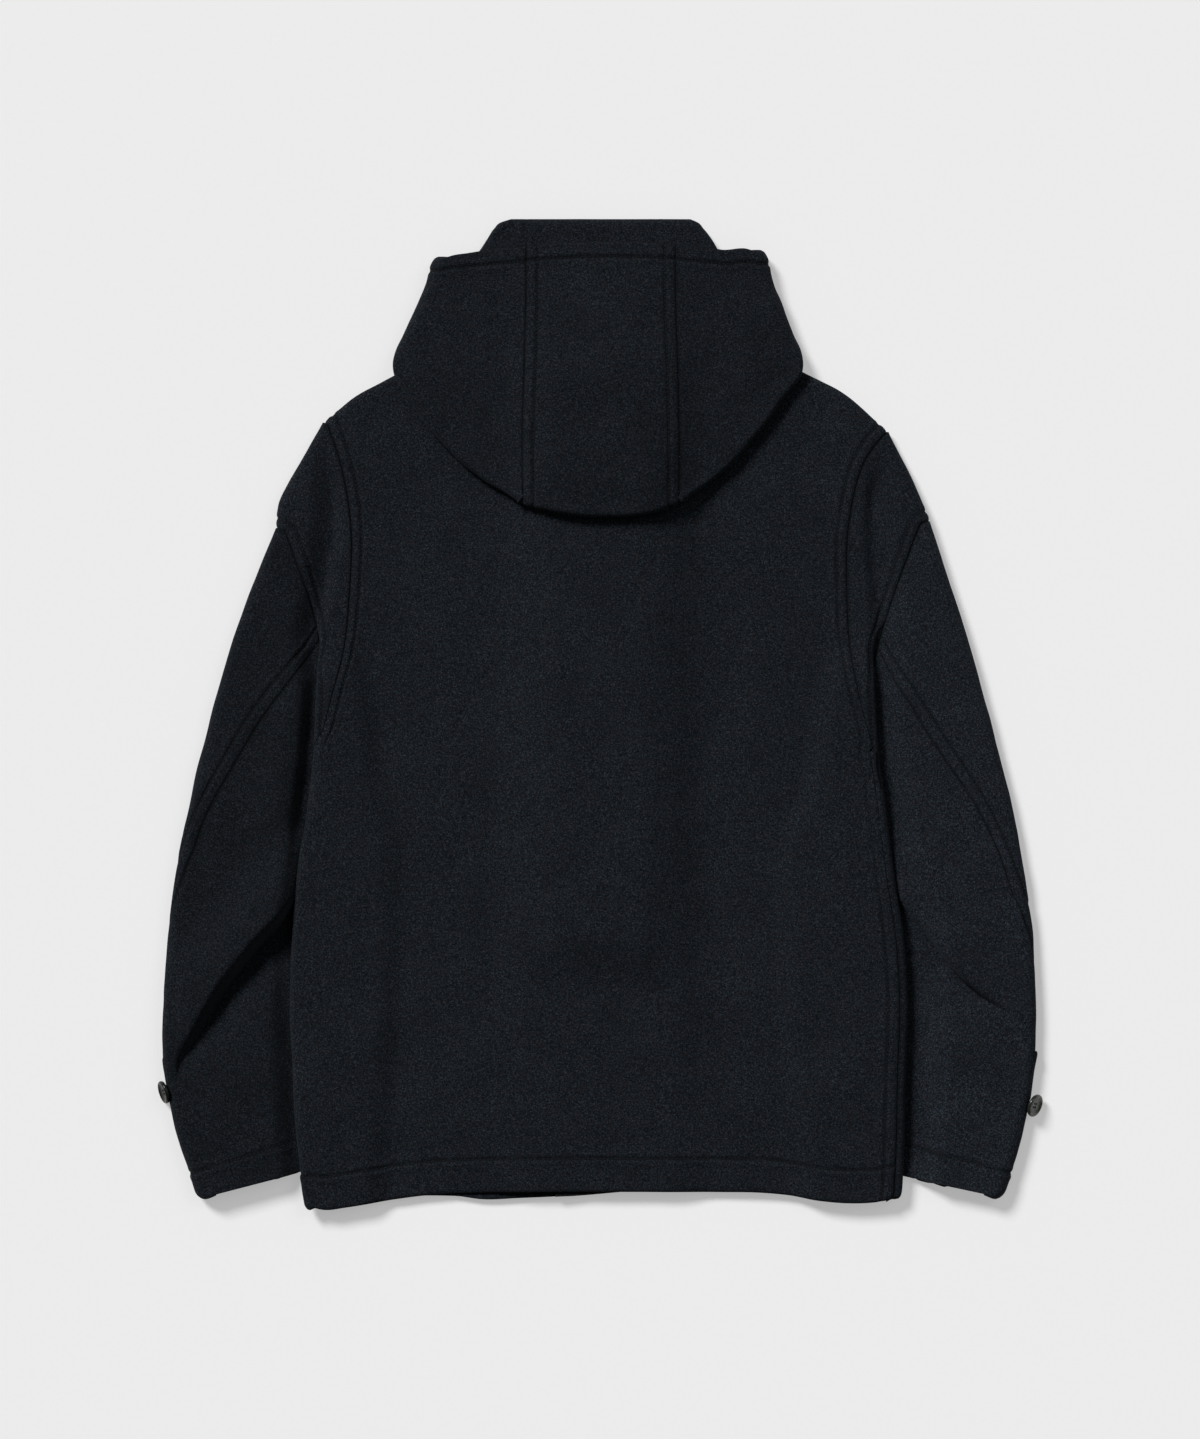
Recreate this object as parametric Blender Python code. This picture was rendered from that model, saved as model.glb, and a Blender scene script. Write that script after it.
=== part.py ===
"""A short duffle coat of heavy dark wool, lying face down with its hood turned back over the shoulders.

X runs to the wearer's right, Y up to the hood and Z up from the surface that the coat lies on.
Sizes and tables are in millimetres; solid() turns them into metres. Each cloth piece is a wall on a
grid of middle points, worked out from its sections.
"""

import math
from collections import namedtuple

import bmesh
import bpy
import numpy as np

MM = 0.001
CLOTH = 3.0  # thickness of the coat cloth
SEAM = 0.4  # space left between two pieces at a seam
HALF = CLOTH / 2
LAYER = CLOTH + SEAM  # rise from one layer's middle to the next one's

# The body
BODY_TOP_LOFT = 2.8  # air between back and fronts
EDGE_LOFT = 1.8  # and at the rolled side edges
HEM_EXTRA = 1.4  # more thickness where the hem is turned up
WELT_WIDTH = 10.0  # the stitched welt on the back armhole seam
WELT_RAISE = 1.0
WELT_STEP = 0.8  # its raised edge drops over this width
WELT_PLACES = (0.0, WELT_WIDTH / 2, WELT_WIDTH, WELT_WIDTH + WELT_STEP)
SIDE_WELT = 0.7  # the side seam's raise, as a share of the armhole's
UNDERARM_Y = -30.0
RIGHT_WRAP = 7.0  # the right front comes this far up over the side edge
OVERLAP = 40.0  # the fronts lap this far past the centre
LAP_RISE = LAYER + 0.6  # rise of the right front over the left one
SLEEVE_TUCK = 7.6  # what the sleeve under the body's edge lifts it by
SHOULDER_INSET = 5.5  # the panels stop this far short of the shoulders' folded line
SAMPLE = 4.0  # the heights of a folded edge are read this far in from it
FRONT_START = 2.0  # a front's flat cloth starts this far in from its side seam
FRONT_STEP = 3.0  # and its columns near that seam are this far apart

# The front fastening, under the coat
TOGGLE_LENGTH = 46.0
TOGGLE_DIAMETER = 10.0
TOGGLE_FIRST_Y = 190.0
TOGGLE_STEP = 120.0
TOGGLES = 4
CORD = 4.0
LOOP_LENGTH = 72.0
LOOP_WIDTH = 14.0
LOOP_SHIFT = -4.0  # the loop lies this far off the toggle's middle, toward the left front
LIFT = TOGGLE_DIAMETER + 0.8  # the fronts stand this high over the toggles

# Sleeves and cuffs
SLEEVE_LOFT = 5.0
CUFF_EXTRA = 1.1
BUTTON_DIAMETER = 21.0
BUTTON_THICK = 4.0
TAB_THICK = 2.0
TAB_SEAT = 1.0  # the strap lies this far off the sleeve
TAB_FIRST = {"left": 9, "right": 10}  # the sleeve section where each cuff strap starts

# The hood
HOOD_INNER = 8.0  # the two layers hidden in the folded hood
HOOD_ROLL_TOP = 15.0  # height of the roll above the face edge
CROWN_LOFT = 3.0
HOOD_LOFT = 2.7  # air inside the hood
HOOD_CLEAR = 1.4  # air under the hood

Side = namedtuple("Side", "y left right")
BODY_EDGE = (  # where the body's folded side edges lie
    Side(-446.0, -263.0, 268.5),
    Side(-434.0, -265.5, 270.5),
    Side(-405.0, -270.0, 272.5),
    Side(-325.0, -275.5, 274.5),
    Side(-258.0, -278.5, 276.5),
    Side(-206.0, -276.5, 273.5),
    Side(-149.0, -272.5, 265.0),
    Side(-78.0, -262.0, 255.5),
    Side(-40.0, -257.5, 250.0),
    Side(10.0, -254.5, 247.0),
    Side(60.0, -252.0, 244.0),
    Side(110.0, -243.0, 240.0),
    Side(160.0, -234.0, 236.0),
)
ARMHOLE = (  # the back armhole seams
    Side(-30.0, -252.0, 244.0),
    Side(14.0, -240.5, 232.5),
    Side(53.0, -230.5, 225.0),
    Side(103.0, -225.0, 222.0),
    Side(160.0, -223.5, 223.5),
    Side(208.0, -231.5, 234.5),
    Side(254.0, -245.0, 256.0),
)
SLEEVE_INNER = (  # the sleeves' inner edges, under the body
    Side(-446.0, -229.0, 215.0),
    Side(-405.0, -228.0, 213.0),
    Side(-300.0, -219.0, 199.0),
    Side(-200.0, -217.0, 197.0),
    Side(-105.0, -219.0, 200.5),
    Side(-80.0, -226.0, 213.0),
    Side(-50.0, -232.0, 222.0),
    Side(-10.0, -236.0, 227.0),
    Side(20.0, -241.0, 234.0),
    Side(60.0, -249.0, 246.0),
)

Edge = namedtuple("Edge", "x back front")
HEM = (
    Edge(-264.0, -442.0, -441.0),
    Edge(-247.0, -446.0, -445.0),
    Edge(-229.0, -444.0, -443.0),
    Edge(-198.0, -439.0, -438.0),
    Edge(-157.0, -433.5, -434.0),
    Edge(-126.0, -431.5, -434.5),
    Edge(-108.0, -431.0, -437.0),
    Edge(-72.0, -430.5, -436.0),
    Edge(-20.0, -430.0, -433.5),
    Edge(20.0, -430.0, -430.5),
    Edge(108.0, -430.5, -429.5),
    Edge(144.0, -431.0, -430.0),
    Edge(171.0, -433.5, -432.5),
    Edge(198.0, -438.0, -437.0),
    Edge(225.0, -440.0, -439.0),
    Edge(243.0, -439.5, -438.5),
    Edge(270.0, -434.5, -434.0),
)
TOP = (  # the folded shoulders and the two necklines
    Edge(-246.0, 260.0, 260.0),
    Edge(-221.0, 282.0, 282.0),
    Edge(-191.0, 300.0, 300.0),
    Edge(-144.0, 321.0, 321.0),
    Edge(-86.0, 336.0, 336.0),
    Edge(-50.0, 331.0, 290.0),
    Edge(0.0, 329.0, 262.0),
    Edge(50.0, 331.0, 290.0),
    Edge(86.0, 337.0, 337.0),
    Edge(144.0, 323.0, 323.0),
    Edge(183.0, 306.0, 306.0),
    Edge(216.0, 288.0, 288.0),
    Edge(257.0, 251.0, 251.0),
)

# A sleeve's sections run from its inner edge to its outer edge. bow curves one, seam is where the
# back seam crosses it (1 is the outer edge), and fold raises or sinks it.
Section = namedtuple("Section", "outer_x outer_y inner_x inner_y bow seam fold")
SLEEVES = {
    "left": (
        Section(-289.0, 166.0, -232.0, -52.0, 9.0, 0.53, 0.0),
        Section(-308.0, 125.0, -230.8, -60.0, 6.0, 0.55, 0.0),
        Section(-328.0, 71.0, -229.0, -68.0, 3.0, 0.65, 0.0),
        Section(-345.0, 14.0, -226.8, -77.0, 1.0, 0.75, 0.0),
        Section(-359.0, -38.0, -224.0, -86.0, 0.0, 0.85, 0.6),
        Section(-372.0, -96.0, -221.5, -94.0, 0.0, 0.94, 0.0),
        Section(-382.5, -156.0, -220.0, -101.0, 0.0, 0.99, 0.0),
        Section(-389.5, -217.0, -219.0, -107.0, 2.0, 1.03, 0.5),
        Section(-392.5, -268.0, -218.3, -113.0, 6.0, 1.05, 2.0),
        Section(-393.0, -306.0, -218.0, -119.0, 10.0, 1.06, 4.0),
        Section(-390.5, -327.0, -218.0, -127.0, 11.0, 1.06, -2.0),
        Section(-387.0, -347.0, -218.0, -140.0, 9.0, 1.06, -4.0),
        Section(-382.0, -373.0, -219.0, -200.0, 4.0, 1.06, -1.5),
        Section(-374.0, -398.0, -222.0, -300.0, 0.0, 1.06, 0.5),
        Section(-368.5, -413.0, -226.0, -376.0, 0.0, 1.06, 0.0),
        Section(-361.0, -437.0, -228.0, -403.0, 0.0, 1.06, 0.0),
    ),
    "right": (
        Section(294.0, 172.0, 222.0, -50.0, -6.0, 0.53, 0.0),
        Section(310.0, 130.0, 220.5, -58.0, -3.0, 0.55, 0.0),
        Section(325.0, 84.0, 218.5, -66.0, -1.0, 0.65, 0.0),
        Section(342.0, 26.0, 216.0, -74.0, 0.0, 0.74, 0.4),
        Section(356.5, -28.0, 212.5, -82.0, 0.0, 0.83, 0.0),
        Section(371.0, -87.0, 208.0, -90.0, 0.0, 0.91, 0.4),
        Section(380.5, -140.0, 204.0, -97.0, 0.0, 0.96, 0.0),
        Section(388.5, -200.0, 201.0, -104.0, 2.0, 1.01, 1.0),
        Section(391.5, -258.0, 199.0, -111.0, 3.0, 1.04, 3.0),
        Section(392.0, -282.0, 198.0, -120.0, 3.0, 1.05, -1.5),
        Section(391.0, -305.0, 198.0, -134.0, 3.0, 1.06, -3.0),
        Section(388.5, -330.0, 198.0, -190.0, 2.0, 1.06, -1.0),
        Section(384.0, -358.0, 200.0, -270.0, 0.0, 1.06, 0.5),
        Section(376.0, -392.0, 206.0, -345.0, 0.0, 1.06, 0.0),
        Section(370.5, -409.0, 211.0, -378.0, 0.0, 1.06, 0.0),
        Section(361.0, -437.0, 214.0, -405.0, 0.0, 1.06, 0.0),
    ),
}
CUFF_ROWS = 2  # the last sections, where the cuff is turned up

# A shoulder cap's stations, from the underarm up to the folded shoulder. around is the place on the
# sleeve's ring, over is how far the cap's fold stands past the seam, and sunk is 1 where it drops.
Cap = namedtuple("Cap", "level around over sunk")
CAPS = (
    Cap(-30.0, 0.165, 21.0, 1.0),
    Cap(-8.0, 0.205, 16.0, 1.0),
    Cap(20.0, 0.25, 9.0, 1.0),
    Cap(50.0, 0.305, 1.5, 1.0),
    Cap(85.0, 0.365, 0.0, 0.2),
    Cap(120.0, 0.425, 0.0, 0.0),
    Cap(155.0, 0.475, 0.0, 0.0),
    Cap(190.0, 0.492, 0.0, 0.0),
    Cap(222.0, 0.496, 0.0, 0.0),
    Cap(250.0, 0.499, 0.0, 0.0),
)
CAP_SEAM = 1.5  # a cap stands this far off the sleeve's first ring
TOP_CLEAR = 2.0  # and this far off the body at the folded shoulder
FOLD_CLEAR = 4.2  # and its folded edge this far
CAP_BULGE = 1.6
SHOULDER_FOLD = {  # the folded edge of each cap, from the armhole seam to the sleeve seam
    "left": ((-247.0, 258.0), (-266.5, 228.0), (-284.5, 196.0), (-290.0, 172.0)),
    "right": ((257.0, 250.0), (272.0, 225.0), (284.0, 200.0), (295.0, 178.0)),
}

HOOD_SIDE = (  # outline of the hood's visible layer
    Side(188.0, -66.0, 68.0),
    Side(196.0, -83.0, 84.0),
    Side(208.0, -104.0, 101.0),
    Side(222.0, -122.0, 117.0),
    Side(241.0, -141.0, 134.0),
    Side(261.0, -158.0, 150.0),
    Side(277.0, -168.5, 161.0),
    Side(291.0, -178.0, 172.0),
    Side(302.0, -184.5, 180.5),
    Side(313.0, -186.0, 182.5),
    Side(325.0, -183.5, 180.5),
    Side(340.0, -176.5, 174.0),
    Side(358.0, -168.0, 166.5),
    Side(376.0, -160.5, 160.0),
    Side(388.0, -155.0, 154.5),
    Side(401.0, -149.5, 148.5),
)
HOOD_SEAM = (  # the centre strip's two seams
    Side(186.0, -66.5, 66.5),
    Side(210.0, -65.5, 66.0),
    Side(264.0, -64.0, 66.0),
    Side(300.0, -62.5, 65.0),
    Side(372.0, -61.0, 63.0),
    Side(424.0, -61.0, 64.0),
)
FaceEdge = namedtuple("FaceEdge", "x y")
HOOD_FACE = (
    FaceEdge(-149.5, 401.5),
    FaceEdge(-137.0, 409.0),
    FaceEdge(-117.0, 413.0),
    FaceEdge(-70.0, 419.0),
    FaceEdge(0.0, 423.0),
    FaceEdge(66.0, 421.0),
    FaceEdge(108.0, 416.0),
    FaceEdge(144.0, 408.0),
    FaceEdge(148.5, 401.5),
)
CROWN = (
    FaceEdge(-67.0, 186.0),
    FaceEdge(-45.0, 180.5),
    FaceEdge(-27.0, 177.0),
    FaceEdge(0.0, 175.0),
    FaceEdge(25.0, 175.5),
    FaceEdge(45.0, 178.0),
    FaceEdge(67.0, 185.0),
)
Roll = namedtuple("Roll", "y left right")
HOOD_UNDER = (  # outline of the hidden layers; the top rows are the roll that shows above the face edge
    Roll(192.0, -52.0, 52.0),
    Roll(202.0, -76.0, 72.0),
    Roll(222.0, -106.0, 102.0),
    Roll(250.0, -134.0, 128.0),
    Roll(285.0, -160.0, 153.0),
    Roll(313.0, -171.0, 167.0),
    Roll(345.0, -160.0, 159.0),
    Roll(375.0, -146.0, 146.0),
    Roll(398.0, -124.0, 124.0),
    Roll(414.0, -109.0, 107.5),
    Roll(426.0, -101.0, 100.0),
    Roll(435.0, -95.0, 93.0),
    Roll(441.0, -88.0, 87.0),
    Roll(443.5, -80.0, 81.0),
)


def smooth(t):
    t = min(max(t, 0.0), 1.0)
    return t * t * (3 - 2 * t)


def track(rows, key, column, at):
    """The value of a table's column at a place along its key column, on a smooth curve."""
    keys = [getattr(row, key) for row in rows]
    values = [getattr(row, column) for row in rows]
    slopes = np.gradient(values, keys)
    at = min(max(at, keys[0]), keys[-1])
    i = min(max(int(np.searchsorted(keys, at)) - 1, 0), len(keys) - 2)
    span = keys[i + 1] - keys[i]
    t = (at - keys[i]) / span
    low = values[i] * (1 + 2 * t) + span * slopes[i] * t
    high = values[i + 1] * (3 - 2 * t) - span * slopes[i + 1] * (1 - t)
    return low * (1 - t) ** 2 + high * t * t


def body_edge(side, y):
    return track(BODY_EDGE, "y", side, y)


def sleeve_lift(x, y, starts, run):
    """Rise of the body over the sleeves that are tucked under its side edges."""
    below = smooth((starts - y) / run)
    left = smooth((track(SLEEVE_INNER, "y", "left", y) + 42.0 - x) / 26.0)
    right = smooth((x - track(SLEEVE_INNER, "y", "right", y) + 42.0) / 26.0)
    return SLEEVE_TUCK * below * max(left, right)


def closure_lift(x, y):
    """Rise of the body along the row of toggles that it lies on."""
    lowest = TOGGLE_FIRST_Y - TOGGLE_STEP * (TOGGLES - 1)
    along = smooth((y - lowest + 80.0) / 55.0)
    return LIFT * along * smooth((92.0 - abs(x)) / 58.0)


def front_height(side, x, y):
    """Middle height of a front panel."""
    height = HALF + sleeve_lift(x, y, 48.0, 28.0) + closure_lift(x, y)
    if side == "right":
        height += LAP_RISE * smooth((OVERLAP + 22.0 - x) / 18.0)
    return height


Crease = namedtuple("Crease", "x_low x_high y_low y_high width height")
BACK_CREASES = (  # soft ridges and troughs that run up the back
    Crease(-200.0, -190.0, -430.0, 60.0, 20.0, -1.2),
    Crease(-245.0, -238.0, -440.0, -60.0, 18.0, 0.6),
    Crease(110.0, 100.0, -400.0, 60.0, 20.0, -1.5),
    Crease(-45.0, -20.0, -430.0, -150.0, 40.0, 1.4),
    Crease(148.0, 146.0, -20.0, 110.0, 18.0, 1.3),
    Crease(222.0, 205.0, -430.0, 40.0, 24.0, 1.4),
    Crease(-120.0, -95.0, -330.0, 90.0, 24.0, 1.0),
)


def relief(creases, x, y):
    total = 0.0
    for crease in creases:
        t = (y - crease.y_low) / (crease.y_high - crease.y_low)
        if 0 < t < 1:
            across = (x - crease.x_low - (crease.x_high - crease.x_low) * t) / crease.width
            total += crease.height * math.exp(-across * across) * smooth(4 * min(t, 1 - t))
    return total


def back_height(x, y):
    """Middle height of the back panel, which lies on the fronts."""
    lapped = LAP_RISE * smooth((102.0 - abs(x)) / 38.0)
    inward = min(x - body_edge("left", y), body_edge("right", y) - x)
    loft = EDGE_LOFT + (BODY_TOP_LOFT - EDGE_LOFT) * smooth(inward / 40.0)
    bumps = relief(BACK_CREASES, x, y) * smooth(inward / 25.0)
    lift = sleeve_lift(x, y, 85.0, 66.0)
    return HALF + lift + closure_lift(x, y) + LAYER + lapped + loft + bumps


def material(name, color, roughness):
    """A plain finish of one colour."""
    finish = bpy.data.materials.new(name)
    finish.use_nodes = True
    shader = finish.node_tree.nodes["Principled BSDF"]
    shader.inputs["Base Color"].default_value = (*color, 1.0)
    shader.inputs["Roughness"].default_value = roughness
    shader.inputs["Metallic"].default_value = 0.0
    return finish


def solid(name, lower, upper, finish):
    """A closed solid between two grids of points, each rows x columns x 3."""
    rows, columns = lower.shape[:2]
    mesh = bmesh.new()
    grids = []
    for grid in (lower, upper):
        grids.append([[mesh.verts.new(point * MM) for point in row] for row in grid])
    below, above = grids
    for i in range(rows - 1):
        for j in range(columns - 1):
            for grid in grids:
                mesh.faces.new((grid[i][j], grid[i][j + 1], grid[i + 1][j + 1], grid[i + 1][j]))
    rim = [(0, j) for j in range(columns)]
    rim += [(i, columns - 1) for i in range(1, rows)]
    rim += [(rows - 1, j) for j in range(columns - 2, -1, -1)]
    rim += [(i, 0) for i in range(rows - 2, 0, -1)]
    for (i, j), (k, m) in zip(rim, rim[1:] + rim[:1]):
        mesh.faces.new((below[i][j], below[k][m], above[k][m], above[i][j]))
    return placed(name, mesh, finish)


def placed(name, mesh, finish):
    """Puts a mesh into the scene as a named object with its own material."""
    bmesh.ops.recalc_face_normals(mesh, faces=mesh.faces)
    if mesh.calc_volume(signed=True) < 0:
        bmesh.ops.reverse_faces(mesh, faces=mesh.faces)
    data = bpy.data.meshes.new(name)
    mesh.to_mesh(data)
    mesh.free()
    data.shade_smooth()
    data.set_sharp_from_angle(angle=math.radians(40))
    piece = bpy.data.objects.new(name, data)
    bpy.context.scene.collection.objects.link(piece)
    piece.data.materials.append(material(name, *finish))
    return piece


def tangent(grid):
    """Unit-like direction along a grid's first axis, true on uneven steps and at both ends."""
    step = np.diff(grid, axis=0)
    length = np.linalg.norm(step, axis=2, keepdims=True)
    unit = step / length
    inner = (unit[:-1] * length[1:] + unit[1:] * length[:-1]) / (length[:-1] + length[1:])
    first = 2 * unit[:1] - inner[:1]
    last = 2 * unit[-1:] - inner[-1:]
    return np.concatenate([first, inner, last])


def wall(name, middle, finish, more=None, thick=CLOTH):
    """Cloth on a grid of middle points. more is extra thickness on the upper face, per point."""
    middle = np.array(middle, float)
    across = tangent(middle.swapaxes(0, 1)).swapaxes(0, 1)
    normal = np.cross(across, tangent(middle))
    normal /= np.linalg.norm(normal, axis=2, keepdims=True)
    if normal[..., 2].mean() < 0:
        normal = -normal
    upper = middle + normal * thick / 2
    if more is not None:
        upper += normal * np.array(more, float)[..., None]
    lower = middle - normal * thick / 2
    for grid in (upper, lower):
        grid[..., 2] = np.maximum(grid[..., 2], 0.0)
    return solid(name, lower, upper, finish)


WOOL = ((0.008, 0.011, 0.017), 0.95)
HORN = ((0.02, 0.017, 0.015), 0.35)
TOGGLE_HORN = ((0.12, 0.07, 0.04), 0.4)
LOOP_CORD = ((0.03, 0.026, 0.022), 0.8)


def rolled(edge_x, top, bottom, outward, angle):
    """A point on a side edge's roll: 0 degrees is on top, 180 underneath."""
    radius = (top - bottom) / 2
    turn = math.radians(angle)
    centre = edge_x - outward * (radius + HALF)
    return centre + outward * radius * math.sin(turn), (top + bottom) / 2 + radius * math.cos(turn)


def side_of_body(side, y):
    """X of the body's side at a height: the folded edge, or the armhole seam above the underarm."""
    fold = smooth((UNDERARM_Y - y) / 10.0)
    seam = track(ARMHOLE, "y", side, y)
    return seam + (body_edge(side, y) - seam) * fold, fold


LEVELS = (-441.0, -428.0, -411.0, -409.0, -385.0, -350.0, -310.0, -270.0, -228.0, -186.0, -145.0,
          -105.0, -72.0, -50.0, -40.0, -30.0, -8.0, 20.0, 50.0, 85.0, 120.0, 155.0, 190.0, 222.0, 250.0)
HEM_LEVELS = 3


def body_y(x, level, column, left, right):
    """Y of a level at x: it follows the hem below and the shoulders above."""
    t = (level - LEVELS[0]) / (LEVELS[-1] - LEVELS[0])
    across = (x - left) / (right - left)
    low = track(HEM, "x", column, x)
    low_line = track(HEM, "x", column, left) * (1 - across) + track(HEM, "x", column, right) * across
    high = track(TOP, "x", column, x)
    high_line = track(TOP, "x", column, left) * (1 - across) + track(TOP, "x", column, right) * across
    base = level
    if level == LEVELS[0]:
        base = low_line
    return base + (low - low_line) * (1 - t) ** 2 + (high - high_line) * t - SHOULDER_INSET * t ** 8


BACK_COLUMNS = (0.035, 0.08, 0.12, 0.16, 0.21, 0.265, 0.315, 0.36, 0.405, 0.45, 0.49, 0.53, 0.57, 0.615,
                0.66, 0.71, 0.76, 0.80, 0.84, 0.88, 0.92, 0.965)
ROLL_LEFT = (112.0, 75.0, 38.0, 0.0)


def back_panel():
    middle = []
    more = []
    for number, level in enumerate(LEVELS):
        left, left_fold = side_of_body("left", level)
        right, right_fold = side_of_body("right", level)
        row = []
        extra = []
        hem = HEM_EXTRA if number < HEM_LEVELS else 0.0
        top = back_height(left + SAMPLE, level)
        bottom = front_height("left", left + SAMPLE, level)
        for place, angle in zip(WELT_PLACES, ROLL_LEFT):
            flat_x = left + SEAM / 2 + place
            flat_y = body_y(flat_x, level, "back", left, right)
            roll_x, roll_z = rolled(left, top, bottom, -1, angle)
            x = flat_x + (roll_x - flat_x) * left_fold
            z = back_height(flat_x, flat_y)
            z += (roll_z - z) * left_fold
            row.append((x, flat_y, z))
            welt = WELT_RAISE * (1 - left_fold) * (place <= WELT_WIDTH)
            extra.append(max(hem * (angle < 90), welt))
        start = row[-1][0]
        seam_x = right - (SEAM / 2) * (1 - right_fold) - (RIGHT_WRAP + 2 * SEAM) * right_fold
        end = seam_x - WELT_PLACES[-1]
        for t in BACK_COLUMNS:
            x = start + (end - start) * t
            y = body_y(x, level, "back", left, right)
            row.append((x, y, back_height(x, y)))
            extra.append(hem)
        for place in WELT_PLACES[::-1]:
            x = seam_x - place
            y = body_y(x, level, "back", left, right)
            row.append((x, y, back_height(x, y)))
            welt = WELT_RAISE * (place <= WELT_WIDTH) * (1 - (1 - SIDE_WELT) * right_fold)
            extra.append(max(hem, welt))
        middle.append(row)
        more.append(extra)
    shoulder_roll(middle, more, (42.0, 82.0), "back")
    return wall("back", middle, WOOL, more)


def shoulder_roll(middle, more, angles, face):
    """Rows that carry a panel's top edge round the folded shoulder. The necklines stay flat."""
    last = middle[-1]
    for number, angle in enumerate(angles):
        row = []
        for j, (x, y, z) in enumerate(last):
            before = last[max(j - 1, 0)]
            after = last[min(j + 1, len(last) - 1)]
            slope = (after[1] - before[1]) / (after[0] - before[0])
            size = math.hypot(1, slope)
            centre = (back_height(x, y) + front_height("left", x, y)) / 2
            radius = abs(z - centre)
            folds = smooth((abs(x) - 78.0) / 14.0)
            out = radius * math.sin(math.radians(angle)) * folds + (number + 1) * (1 - folds)
            rise = radius * math.cos(math.radians(angle)) * folds
            height = z + (centre - z) * folds + rise
            row.append((x - out * slope / size, y + out / size, height))
        middle.append(row)
        more.append([0.0] * len(row))


FRONT_COLUMNS = (0.08, 0.16, 0.25, 0.34, 0.44, 0.58, 0.72, 0.86)
FRONT_INNER = (94.0, 78.0, 62.0, 44.0, 20.0, -10.0, -OVERLAP)  # from the centre, lapped side last


def front_panel(side):
    """A front, from its side seam round the body's edge and under to the centre."""
    outward = -1 if side == "left" else 1
    angles = (132.0, 156.0, 180.0) if side == "left" else (0.0, 45.0, 90.0, 135.0, 180.0)
    middle = []
    more = []
    for level in LEVELS:
        left = side_of_body("left", level)[0]
        right = side_of_body("right", level)[0]
        edge, fold = side_of_body(side, level)
        row = []
        top = back_height(edge - outward * SAMPLE, level)
        bottom = front_height(side, edge - outward * SAMPLE, level)
        if side == "right":
            x = edge - outward * (RIGHT_WRAP * fold + (SEAM / 2) * (1 - fold))
            y = body_y(x, level, "back", left, right)
            z = front_height(side, x, y)
            row.append((x, y, z + (back_height(x, y) - z) * fold))
        for place, angle in enumerate(angles):
            flat_x = edge - outward * (SEAM / 2 + FRONT_START + FRONT_STEP * place)
            y = body_y(flat_x, level, "front", left, right)
            roll_x, roll_z = rolled(edge, top, bottom, outward, angle)
            z = front_height(side, flat_x, y)
            z += (roll_z - z) * fold
            row.append((flat_x + (roll_x - flat_x) * fold, y, z))
        start = row[-1][0]
        end = outward * FRONT_INNER[0]
        columns = [start + (end - start) * t for t in FRONT_COLUMNS]
        columns += [outward * x for x in FRONT_INNER]
        for x in columns:
            y = body_y(x, level, "front", left, right)
            row.append((x, y, front_height(side, x, y)))
        middle.append(row)
        more.append([0.0] * len(row))
    shoulder_roll(middle, more, (138.0, 98.0), "front")
    return wall(f"front_{side}", middle, WOOL)


def sleeve_top_height(side, x, y, fold):
    """Middle height of the sleeve's upper face: low where the body lies on it."""
    outward = -1 if side == "left" else 1
    clear = outward * (x - body_edge(side, y))
    bare = HALF + LAYER + 0.6
    return bare + SLEEVE_LOFT * smooth((clear - 4.0) / 20.0) + fold * smooth((clear - 8.0) / 20.0)


def end_direction(side, number, end):
    """Which way a sleeve's section bulges at its inner or outer end: square to that edge."""
    sections = SLEEVES[side]
    before = sections[max(number - 1, 0)]
    after = sections[min(number + 1, len(sections) - 1)]
    if end == "inner":
        run = np.array((after.inner_x - before.inner_x, after.inner_y - before.inner_y))
        away = np.array((-run[1], run[0]))
    else:
        run = np.array((after.outer_x - before.outer_x, after.outer_y - before.outer_y))
        away = np.array((run[1], -run[0]))
    if side == "right":
        away = -away
    return away / np.linalg.norm(away)


def sleeve_point(side, number, around):
    """A point on a sleeve's ring: 0 under the inner edge, 0.12 on top of it, 0.5 and 0.62 at the
    outer edge's top and bottom, and 1 back at the inner edge."""
    section = SLEEVES[side][number]
    inner = np.array((section.inner_x, section.inner_y))
    outer = np.array((section.outer_x, section.outer_y))
    width = np.linalg.norm(outer - inner)
    along = (outer - inner) / width
    aside = np.array((along[1], -along[0]))
    toward_inner = end_direction(side, number, "inner")
    toward_outer = end_direction(side, number, "outer")

    def top_at(place):
        return sleeve_top_height(side, *place, section.fold)

    inner_radius = (top_at(inner + along * 4.0) - HALF) / 2
    outer_radius = (top_at(outer - along * 6.0) - HALF) / 2
    first = inner - toward_inner * (inner_radius + HALF)
    last = outer - toward_outer * (outer_radius + HALF)
    span = np.linalg.norm(last - first)

    def plan(t):
        return first + (last - first) * t + aside * section.bow * 4 * t * (1 - t)

    if around < 0.12:
        turn = math.pi * (around / 0.12)
        place = first + toward_inner * inner_radius * math.sin(turn)
        z = HALF + inner_radius * (1 - math.cos(turn))
    elif around < 0.5:
        t = (around - 0.12) / 0.38
        place = plan(t)
        z = top_at(place)
        z += (HALF + 2 * inner_radius - z) * (1 - smooth(t * span / 5.0))
        z += (HALF + 2 * outer_radius - z) * (1 - smooth((1 - t) * span / 9.0))
    elif around < 0.62:
        turn = math.pi * (around - 0.5) / 0.12
        place = last + toward_outer * outer_radius * math.sin(turn)
        z = HALF + outer_radius * (1 + math.cos(turn))
    else:
        place = plan((1.0 - around) / 0.38)
        z = HALF
    return place[0], place[1], z


def seam_around(seam):
    """The ring place of a seam, from its place across: up to 1 on top, past 1 underneath."""
    if seam <= 0.94:
        return 0.12 + 0.38 * seam / 0.97
    if seam <= 1.06:
        return 0.488 + (0.15) * (seam - 0.94) / 0.12
    return 0.638


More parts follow.
